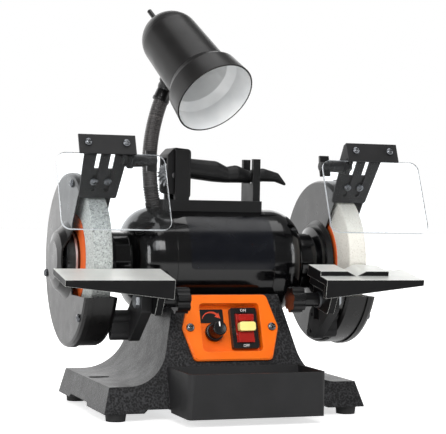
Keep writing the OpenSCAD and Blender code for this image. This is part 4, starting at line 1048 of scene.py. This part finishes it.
@dataclass
class Studio:
    """Camera, floor and soft light. The camera is in millimetres and degrees, and the rest is in metres."""

    frame_width_px: int = 446
    sensor_width: float = 36.0
    focal_px: float = 1461.3
    eye: Point = (-514.7, -1438.4, 202.2)
    yaw: float = 20.20
    pitch: float = 0.46
    roll: float = 1.06
    floor_half: float = 9.0
    floor_grey: float = 0.86
    floor_bounce: float = 0.3
    pool_near: float = 0.25
    pool_far: float = 1.1
    pool_glow: float = 0.66
    surround_fill: float = 0.22
    lights: tuple[Softbox, ...] = (
        Softbox("back_card", (-0.6, 3.2, 1.25), 7.0, 2.9, 1.5),
        Softbox("left_card", (-3.2, 0.6, 0.9), 2.2, 2.0, 1.1),
        Softbox("top_box", (0.1, -0.2, 2.0), 1.8, 1.4, 2.4),
        Softbox("front_key", (-0.5, -2.2, 1.7), 1.5, 0.9, 8.0),
        Softbox("right_strip", (2.4, -1.3, 0.7), 0.5, 1.7, 6.0),
        Softbox("left_strip", (-2.3, -1.7, 0.8), 0.7, 1.6, 8.0),
    )

    def camera(self) -> None:
        """Makes the camera and sets it as the scene's."""
        yaw, pitch, roll = (math.radians(v) for v in (self.yaw, self.pitch, self.roll))
        ahead = Vector((math.sin(yaw) * math.cos(pitch), math.cos(yaw) * math.cos(pitch), -math.sin(pitch)))
        level = Vector((math.cos(yaw), -math.sin(yaw), 0))
        upright = level.cross(ahead)
        right = level * math.cos(roll) + upright * math.sin(roll)
        up = upright * math.cos(roll) - level * math.sin(roll)
        lens = bpy.data.cameras.new("camera")
        lens.sensor_fit = "HORIZONTAL"
        lens.sensor_width = self.sensor_width
        lens.lens = self.focal_px / self.frame_width_px * self.sensor_width
        lens.clip_start, lens.clip_end = 0.01, 100.0
        camera = bpy.data.objects.new("camera", lens)
        turn = Matrix((right, up, -ahead)).transposed().to_4x4()
        camera.matrix_world = Matrix.Translation(Vector(self.eye) * MM) @ turn
        link(camera)
        bpy.context.scene.camera = camera

    def floor(self) -> None:
        """Makes the pale floor at the feet. It glows towards its rim, so that it runs into the surround."""
        half, low = self.floor_half, CAD_BOX[0].z
        data = bpy.data.meshes.new("floor")
        data.from_pydata([(-half, -half, low), (half, -half, low), (half, half, low), (-half, half, low)], [],
                         [(0, 1, 2, 3)])
        paper = bpy.data.materials.new("white_paper_sweep")
        paper.use_nodes = True
        tree = paper.node_tree
        tree.nodes.clear()
        place = add(tree, "ShaderNodeTexCoord").outputs["Object"]
        away = add(tree, "ShaderNodeVectorMath", {0: place}, operation="LENGTH").outputs["Value"]
        glow = add(tree, "ShaderNodeMapRange", {
            "Value": away, "From Min": self.pool_near, "From Max": self.pool_far, "To Min": self.pool_glow})
        seen = add(tree, "ShaderNodeLightPath").outputs["Is Camera Ray"]
        share = add(tree, "ShaderNodeMapRange", {"Value": seen, "To Min": self.floor_bounce})
        glow = add(tree, "ShaderNodeMath", {0: glow, 1: share}, operation="MULTIPLY")
        shader = add(tree, "ShaderNodeBsdfPrincipled", {
            "Base Color": (self.floor_grey, self.floor_grey, self.floor_grey, 1), "Roughness": 0.7,
            "Emission Color": (1, 1, 1, 1), "Emission Strength": glow})
        add(tree, "ShaderNodeOutputMaterial", {"Surface": shader})
        data.materials.append(paper)
        floor = bpy.data.objects.new("floor", data)
        link(floor)

    def surround(self) -> None:
        """Makes the white surround, which lights the grinder less than it shows."""
        world = bpy.data.worlds.new("surround")
        bpy.context.scene.world = world
        world.use_nodes = True
        tree = world.node_tree
        tree.nodes.clear()
        seen = add(tree, "ShaderNodeLightPath").outputs["Is Camera Ray"]
        strength = add(tree, "ShaderNodeMapRange", {"Value": seen, "To Min": self.surround_fill})
        white = add(tree, "ShaderNodeBackground", {"Color": (1, 1, 1, 1), "Strength": strength})
        add(tree, "ShaderNodeOutputWorld", {"Surface": white})

    def build(self) -> None:
        """Sets up the camera, the floor and the light, with colours kept as plain sRGB."""
        self.camera()
        self.floor()
        for light in self.lights:
            light.place()
        self.surround()
        bpy.context.scene.view_settings.view_transform = "Standard"


# ---------- sub-assemblies ----------


@dataclass
class Assembly:
    """A sub-assembly whose CAD nodes each take the finish of their slot."""

    nodes: tuple[str, ...] = ()

    def build(self) -> None:
        """Dresses the nodes."""
        for node in self.nodes:
            dress(node)


@dataclass
class Base(Assembly):
    """The casting with its feet, bottom plate, gland and control board, and the water tray."""

    nodes: tuple[str, ...] = (
        "base_casting", "rubber_feet", "bottom_plate", "cord_gland", "control_board", "water_tray")


@dataclass
class FrontPanel(Assembly):
    """The orange panel with its dial, knob, switch and screws, drawn in the panel's own sloping frame."""

    nodes: tuple[str, ...] = (
        "switch_panel", "dial_plate", "speed_pot", "switch_housing", "switch_paddle", "safety_key")
    origin: Point = (0, -65.55, 79.0)
    slope: float = 19.8
    knob_at: Point = (-15.5, -3.0, -5.7)
    knob_d: float = 15.0
    knob_h: float = 19.0
    knob_ribs: int = 24
    rib_depth: float = 0.045
    bore_r: float = 3.05
    bore_depth: float = 12.5
    skirt_h: float = 4.0
    skirt_reach: float = 2.0
    pointer_half: float = 0.65
    arrow_at: Point = (-17.3, 9.4, -5.33)
    arrow_r: float = 8.6
    arrow_widening: float = 1.1
    arrow_from: float = 168.0
    arrow_turn: float = 122.0
    arrow_thin: float = 0.25
    arrow_swell: float = 0.85
    arrow_steps: int = 22
    arrow_head: tuple[Flat, ...] = ((8.4, 8.3), (10.1, 2.0), (4.0, 4.0))
    ink: float = 0.12
    words: tuple[tuple[str, Point], ...] = (("ON", (16.0, 18.2, 0.05)), ("OFF", (16.0, -18.4, 0.05)))
    word_size: float = 4.0
    screw_reach: float = 43.5
    screw_out: float = 4.1

    def frame(self, u: float = 0.0, v: float = 0.0, out: float = 0.0) -> Matrix:
        """The local frame at a place on the panel: X to the right, Y up the slope and Z out of the face."""
        return seat(self.at(u, v, out), self.out(), (1, 0, 0))

    def out(self) -> Point:
        """The direction out of the panel's face."""
        a = math.radians(self.slope)
        return (0, -math.cos(a), math.sin(a))

    def at(self, u: float, v: float, out: float) -> Point:
        """Finds a place on the panel.

        Args:
            u: How far right of the panel's middle.
            v: How far up the slope.
            out: How far out of the face.

        Returns:
            The place in the grinder's frame, in millimetres.
        """
        sine, cosine = math.sin(math.radians(self.slope)), math.cos(math.radians(self.slope))
        x, y, z = self.origin
        return (x + u, y + v * sine - out * cosine, z + v * cosine + out * sine)

    def build(self) -> None:
        """Dresses the nodes and makes the knob, the prints and the screws."""
        super().build()
        self.knob()
        self.arrow()
        for word, place in self.words:
            self.word(word, place)
        self.screws()

    def knob(self) -> None:
        """The speed knob: a skirt, a ribbed grip and a white pointer let into its face."""
        r, h, bore, deep = self.knob_d / 2, self.knob_h, self.bore_r, self.bore_depth
        skirt, low = r + self.skirt_reach, self.skirt_h

        def ribs(a: float) -> float:
            """Rounded ribs round the grip."""
            return 1 + self.rib_depth * abs(math.cos(a * self.knob_ribs / 2)) ** 0.6

        form = Form("speed_knob_grip", self.frame(*self.knob_at))
        form.lathe([(bore, deep), (bore, 0), (skirt - 0.8, 0), (skirt, 0.5), (skirt, low - 0.8),
                    (skirt - 0.8, low)], 96)
        form.lathe([(skirt - 0.8, low), (r - 0.2, low + 0.4), (r - 0.35, low + 1.2), (r - 0.35, h - 1.2),
                    (r - 0.5, h - 0.6)], 192, ribs)
        form.lathe([(r - 0.5, h - 0.6), (r - 0.8, h - 0.2), (r - 1.3, h), (r - 1.9, h - 0.2),
                    (0, h - 0.4)], 96)
        form.lathe([(bore, deep), (0, deep)], 96)
        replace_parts(form.done(BLACK_ABS, "speed_control"), "speed_knob")
        line = Form("speed_knob_pointer", self.frame(*self.knob_at))
        near, far, half = 1.6, r - 1.1, self.pointer_half
        line.prism([(-half, near), (half, near), (half, far), (-half, far)], h - 0.6, h + 0.02)
        line.done(WHITE_INK, "speed_control")

    def arrow(self) -> None:
        """The plain curved arrow that is printed on the dial plate and swells towards its head."""
        form = Form("dial_arrow", self.frame(*self.arrow_at))
        outer, inner = [], []
        for i in range(self.arrow_steps):
            share = i / (self.arrow_steps - 1)
            angle = math.radians(self.arrow_from - self.arrow_turn * share)
            half = self.arrow_thin + self.arrow_swell * share
            for line, r in ((outer, self.arrow_r + half), (inner, self.arrow_r - half)):
                line.append((r * math.cos(angle) * self.arrow_widening, r * math.sin(angle)))
        form.prism([*outer, *self.arrow_head, *inner[::-1]], 0, self.ink)
        form.done(ARROW_INK, "frame")

    def word(self, word: str, place: Point) -> None:
        """Prints one word on the switch frame, made a mesh before it takes its place.

        Args:
            word: The word.
            place: Its middle on the panel.
        """
        name = f"switch_word_{word.lower()}"
        text = bpy.data.curves.new(name, "FONT")
        text.body = word
        text.size = self.word_size
        text.align_x, text.align_y = "CENTER", "CENTER"
        text.extrude = self.ink / 2
        text.resolution_u = 3
        holder = bpy.data.objects.new(name, text)
        link(holder)
        data = evaluated(holder)
        bpy.data.objects.remove(holder)
        u, v, out = place
        data.transform(self.frame(u, v, out + self.ink / 2))
        settle(bpy.data.objects.new(name, data), WHITE_INK, "frame")

    def screws(self) -> None:
        """The two black cross-recess screws at the panel's points."""
        part = PanScrew(head_d=8.2, head_h=2.3, shank_d=3.8, shank_len=14).part()
        spots = [Spot(self.at(s * self.screw_reach, 0, self.screw_out), self.out(), 20 * s) for s in (-1, 1)]
        fasten("panel_cross_screws", part, spots, "frame", "panel_screws")


@dataclass
class Motor(Assembly):
    """Motor can, end bells and all that turns or sits in them, with the blank film on the can's front."""

    nodes: tuple[str, ...] = (
        "motor_can", "bell_left", "bell_right", "rotor_core", "spindle_shaft", "bearings", "through_bolts",
        "wheel_flanges", "arbor_nuts", "blotters")
    can_r: float = 55.0
    core_half: float = 31.2
    film_low: float = -7.0
    film_high: float = 57.0
    film_left: float = -38.0
    film_right: float = 52.0
    film_corner: float = 4.0
    film_gap: float = 0.02
    film_t: float = 0.12
    film_columns: int = 64

    def build(self) -> None:
        """Dresses the nodes, with copper ends on the stator, and lays the film."""
        super().build()
        dress_faces("stator", COPPER, lambda normal, middle: abs(middle.x) > self.core_half)
        self.film()

    def film(self) -> None:
        """A bare film with round corners, bent round the can."""
        form = Form("blank_film")
        corner, columns = self.film_corner, self.film_columns
        reach = math.radians(self.film_high - self.film_low) * self.can_r
        turn = math.radians((self.film_low + self.film_high) / 2)
        middle, half = (self.film_left + self.film_right) / 2, (self.film_right - self.film_left) / 2
        loops = []
        for r in (self.can_r + self.film_gap, self.can_r + self.film_t):
            line = []
            for i in range(columns + 1):
                s = -reach / 2 + reach * i / columns
                over = max(abs(s) - (reach / 2 - corner), 0.0)
                wide = half - corner + math.sqrt(max(corner * corner - over * over, 0.0))
                a = turn + s / self.can_r
                y, z = -r * math.cos(a), SPINDLE_Z + r * math.sin(a)
                line.append(form.ring([(middle - wide, y, z), (middle + wide, y, z)]))
            loops.append(line)
        low, high = loops
        for i in range(columns):
            for near, far in ((low[i], low[i + 1]), (high[i], high[i + 1])):
                form.mesh.faces.new((near[0], near[1], far[1], far[0]))
            for k in (0, 1):
                form.mesh.faces.new((low[i][k], low[i + 1][k], high[i + 1][k], high[i][k]))
        for i in (0, columns):
            form.mesh.faces.new((low[i][0], low[i][1], high[i][1], high[i][0]))
        form.done(LABEL_FILM, "frame")


@dataclass
class WheelEnd(Assembly):
    """One end of the grinder: wheel, guard, cover, deflector, shield, tool rest and their knobs."""

    side: Side = Side.LEFT
    wheels: tuple[str, str] = ("wheel_grey", "wheel_white")
    stems: tuple[str, ...] = (
        "guard", "cover", "deflector", "shield_carrier", "wing_knob", "rest_bracket", "clamp_bolt",
        "star_knob")
    rest_tilt: float = 10.0
    shield_lean: float = 22.0
    shield_pivot: Point = (0, -84, 243.5)
    screw_inner: float = 120.7
    screw_pitch: float = 37.5
    screw_up: float = 10.175
    screw_out: float = 18.1

    def build(self) -> None:
        """Dresses the nodes of this end and makes its screws."""
        word = self.side.word
        self.nodes = (self.wheels[self.side is Side.RIGHT], *[f"{stem}_{word}" for stem in self.stems])
        super().build()
        lean, tilt = math.radians(self.shield_lean), math.radians(self.rest_tilt)
        up, out = Vector((0, math.sin(lean), math.cos(lean))), Vector((0, -math.cos(lean), math.sin(lean)))
        # The sheet is clear over its face, and its sawn rim is painted pale and glows with painted light
        dress_faces(f"eye_shield_{word}", GLOWING_CLEAR_RIM, lambda normal, middle: abs(normal.dot(out)) < 0.7)
        # The rest is milled on top and in its vee, and painted elsewhere
        top = Vector((0, -math.sin(tilt), math.cos(tilt)))
        dress_faces(f"tool_rest_{word}", MILLED_TOP, lambda normal, middle: normal.dot(top) > 0.85)
        # Two screws clamp the shield under its carrier
        part = PanScrew(head_d=7.6, head_h=3.0, shank_d=4.0, shank_len=9.0, nut_at=5.1, nut_d=8.0).part()
        spots = []
        for i in (0, 1):
            place = Vector((self.side.x(self.screw_inner + i * self.screw_pitch), 0, 0))
            place += Vector(self.shield_pivot) + up * self.screw_up + out * self.screw_out
            spots.append(Spot(tuple(place), tuple(out), 25 + 40 * i))
        fasten(f"shield_cross_screws_{word}", part, spots, f"shield_{word}",
               f"shield_screws_{word}")


@dataclass
class GuardScrews(Assembly):
    """The cross-recess screws of both guards: three through each cover and two through each lug."""

    wheel_x: float = 135.5
    cover_x: float = 154.575
    post_at: float = 80.6
    post_angles: tuple[float, ...] = (72, -42, -168)
    open_up: float = 54.0
    lug_x: float = 7.0
    lug_r: float = 99.0
    lug_out: float = 2.1

    def build(self) -> None:
        """Makes the six of the covers as one piece and the four of the lugs as another."""
        covers, lugs = [], []
        lean = math.radians(90 - self.open_up)
        radial = Vector((0, -math.sin(lean), math.cos(lean)))
        out = Vector((0, -math.cos(lean), -math.sin(lean)))
        for side in Side:
            for angle in self.post_angles:
                a = math.radians(angle)
                y, z = -self.post_at * math.cos(a), SPINDLE_Z + self.post_at * math.sin(a)
                covers.append(Spot((side.x(self.cover_x), y, z), (side.value, 0, 0), angle * 1.7))
            for k in (-1, 1):
                place = Vector((side.x(self.wheel_x + k * self.lug_x), 0, SPINDLE_Z))
                place += radial * self.lug_r + out * self.lug_out
                lugs.append(Spot(tuple(place), tuple(out), 30 * k))
        part = PanScrew(head_d=8.0, head_h=2.9, shank_d=4.0, shank_len=1.6).part()
        fasten("guard_cross_screws", part, covers, "frame", "guard_screws")
        part = PanScrew(head_d=8.4, head_h=3.2, shank_d=4.0, shank_len=5.2).part()
        fasten("lug_cross_screws", part, lugs, "frame", "guard_screws")


@dataclass
class Dresser(Assembly):
    """The wheel dresser in its cradle on the can."""

    nodes: tuple[str, ...] = ("dresser_cradle", "dresser_body", "star_cutters", "dresser_pin")


@dataclass
class GooseneckLamp(Assembly):
    """The flexible neck, the elbow and the lamp. The neck lies in one plane: straight first, then bent."""

    nodes: tuple[str, ...] = ("lamp_socket", "lamp_switch")
    plane_y: float = 4.0
    foot: Flat = (-60.0, 195.0)
    lean: float = -12.5
    straight: float = 8.0
    bend_r: float = 190.0
    sweep: float = 37.2
    joint_at: Flat = (85.93, 109.14)
    split_at: float = 98.0
    coarse_to: float = 27.0
    coarse_rib: Flat = (1.1, 2.7)
    fine_rib: Flat = (0.45, 1.9)
    cuff_depth: float = 14.0
    cuff_len: float = 16.5
    tube_d: float = 15.5
    ball_over: float = 1.6
    ball_from: float = -26.0
    arm_over: float = 1.0
    arm_len: float = 7.0
    pin_r: float = 4.0
    pin_len: float = 15.0
    lamp_at: Point = (-43.912, -25.693, 356.779)
    axis: Point = (-0.26882, 0.70029, 0.66131)
    rim_at: float = -73.4
    dome_z: float = 20.1

    @property
    def length(self) -> float:
        """Length of the neck to the elbow."""
        return self.straight + math.radians(self.sweep) * self.bend_r

    def at(self, s: float) -> Vector:
        """Finds a point on the neck's middle line.

        Args:
            s: Its distance from the foot along the line.

        Returns:
            The point, in millimetres.
        """
        a = math.radians(self.lean)
        x, z = self.foot
        if s <= self.straight:
            return Vector((x + s * math.sin(a), self.plane_y, z + s * math.cos(a)))
        x, z = x + self.straight * math.sin(a), z + self.straight * math.cos(a)
        cx, cz = x + self.bend_r * math.cos(a), z - self.bend_r * math.sin(a)
        b = a + (s - self.straight) / self.bend_r
        return Vector((cx - self.bend_r * math.cos(b), self.plane_y, cz + self.bend_r * math.sin(b)))

    def heading(self, s: float) -> Vector:
        """The direction of the neck at a distance from its foot."""
        return (self.at(s + 0.5) - self.at(s - 0.5)).normalized()

    def hose(self, name: str, first: float, last: float, radius: float, rib: Flat) -> Piece:
        """A stretch of ribbed hose.

        Args:
            name: Its name.
            first: Where it starts along the neck.
            last: Where it ends.
            radius: Its radius over the ribs.
            rib: The depth between the ribs and the distance from rib to rib.

        Returns:
            The object, not yet dressed.
        """
        count = max(int((last - first) / 0.4), 8)
        points = [self.at(first + (last - first) * i / count) * MM for i in range(count + 1)]
        data = bpy.data.meshes.new(name)
        data.from_pydata(points, [(i, i + 1) for i in range(count)], [])
        holder = bpy.data.objects.new(name, data)
        depth, pitch = rib
        run_tree(holder, HOSE_TREE, {
            "Radius": radius * MM, "Rib Depth": depth * MM, "Rib Pitch": pitch * MM, "Step": 0.34 * MM,
            "Facets": 40, "Material": HOSE_PVC.material()})
        return holder

    def neck(self) -> None:
        """The hose in three stretches and the nut at its foot."""
        r, (first, second) = self.tube_d / 2, self.joint_at
        coarse = self.hose("neck_spring", 1.0, self.coarse_to, r + 0.35, self.coarse_rib)
        settle(coarse, HOSE_PVC, "frame")
        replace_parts(coarse, "gooseneck_lower")
        low = self.hose("neck_hose_lower", self.coarse_to - 1, self.split_at, r, self.fine_rib)
        settle(low, HOSE_PVC, "")
        [tuple(self.at(first + s) * MM) for s in (-6, 10)]
        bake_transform(low)
        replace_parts(low, "gooseneck_middle")
        high = self.hose("neck_hose_upper", self.split_at, self.length - self.cuff_depth, r, self.fine_rib)
        settle(high, HOSE_PVC, "")
        [tuple(self.at(second + s) * MM) for s in (-8, 6)]
        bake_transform(high)
        foot = Form("neck_foot_nut", seat(tuple(self.at(0)), tuple(self.heading(1)), (1, 0, 0)))
        foot.lathe([(7.4, 0.6), (7.7, 0.6), (8.65, 1.2), (8.65, 9.2), (7.9, 9.9), (7.4, 9.9)], 6)
        foot.done(HOSE_PVC, "frame", bevel=0.3)

    def elbow(self) -> None:
        """The cuff at the end of the hose, the ball of the elbow and the arm into the shade's sleeve."""
        end, r, tip = self.at(self.length), self.tube_d / 2, -self.cuff_len
        ball_r, arm_r, arm = r + self.ball_over, r + self.arm_over, self.arm_len
        turns = [math.radians(self.ball_from + (90 - self.ball_from) * i / 15) for i in range(15)]
        cuff = Form("neck_cuff", seat(tuple(end), tuple(self.heading(self.length)), (0, 1, 0)))
        ball = [(ball_r * math.cos(a), ball_r * math.sin(a)) for a in turns]
        cuff.lathe([(0, tip), (r + 0.5, tip), (r + 1.15, tip + 0.6), (r + 1.25, tip + 3.1),
                    (r + 0.75, tip + 3.7), (r + 0.75, -5.4), (r + 0.45, -4.8), *ball, (0, ball_r)], 56)
        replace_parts(cuff.done(BLACK_ABS, "neck_upper"), "gooseneck_upper")
        stem = Form("neck_arm", seat(tuple(end), tuple(Vector(self.lamp_at) - end), (0, 1, 0)))
        stem.lathe([(0, 0), (arm_r, 0), (arm_r, arm - 1.4), (arm_r - 0.35, arm - 0.6), (arm_r - 1.05, arm),
                    (self.pin_r, arm), (self.pin_r, self.pin_len), (0, self.pin_len)], 56)
        stem.done(BLACK_ABS, "neck_upper")

    def shade(self) -> None:
        """The shade: satin black outside, white enamel inside."""
        centre, axis = Vector(self.lamp_at), Vector(self.axis).normalized()

        def inside(normal: Vector, middle: Vector) -> bool:
            """Says whether a face looks towards the shade's axis.

            Args:
                normal: The face's normal.
                middle: Its middle, in millimetres.

            Returns:
                True on the inside.
            """
            along = min(max((middle - centre).dot(axis), self.rim_at), self.dome_z)
            outwards = middle - (centre + axis * along)
            return normal.dot(outwards.normalized()) < -0.3

        dress_faces("lamp_shade", WHITE_ENAMEL, inside)

    def build(self) -> None:
        """Makes the neck and dresses the lamp."""
        self.neck()
        self.elbow()
        self.shade()
        super().build()


def main() -> None:
    """Builds the studio and the grinder's sub-assemblies."""
    logging.basicConfig(level=logging.INFO, format="%(name)s: %(message)s")
    Studio().build()
    for assembly in (Base(), FrontPanel(), Motor(), WheelEnd(side=Side.LEFT), WheelEnd(side=Side.RIGHT),
                     GuardScrews(), Dresser(), GooseneckLamp()):
        assembly.build()


if __name__ == "__main__":
    main()
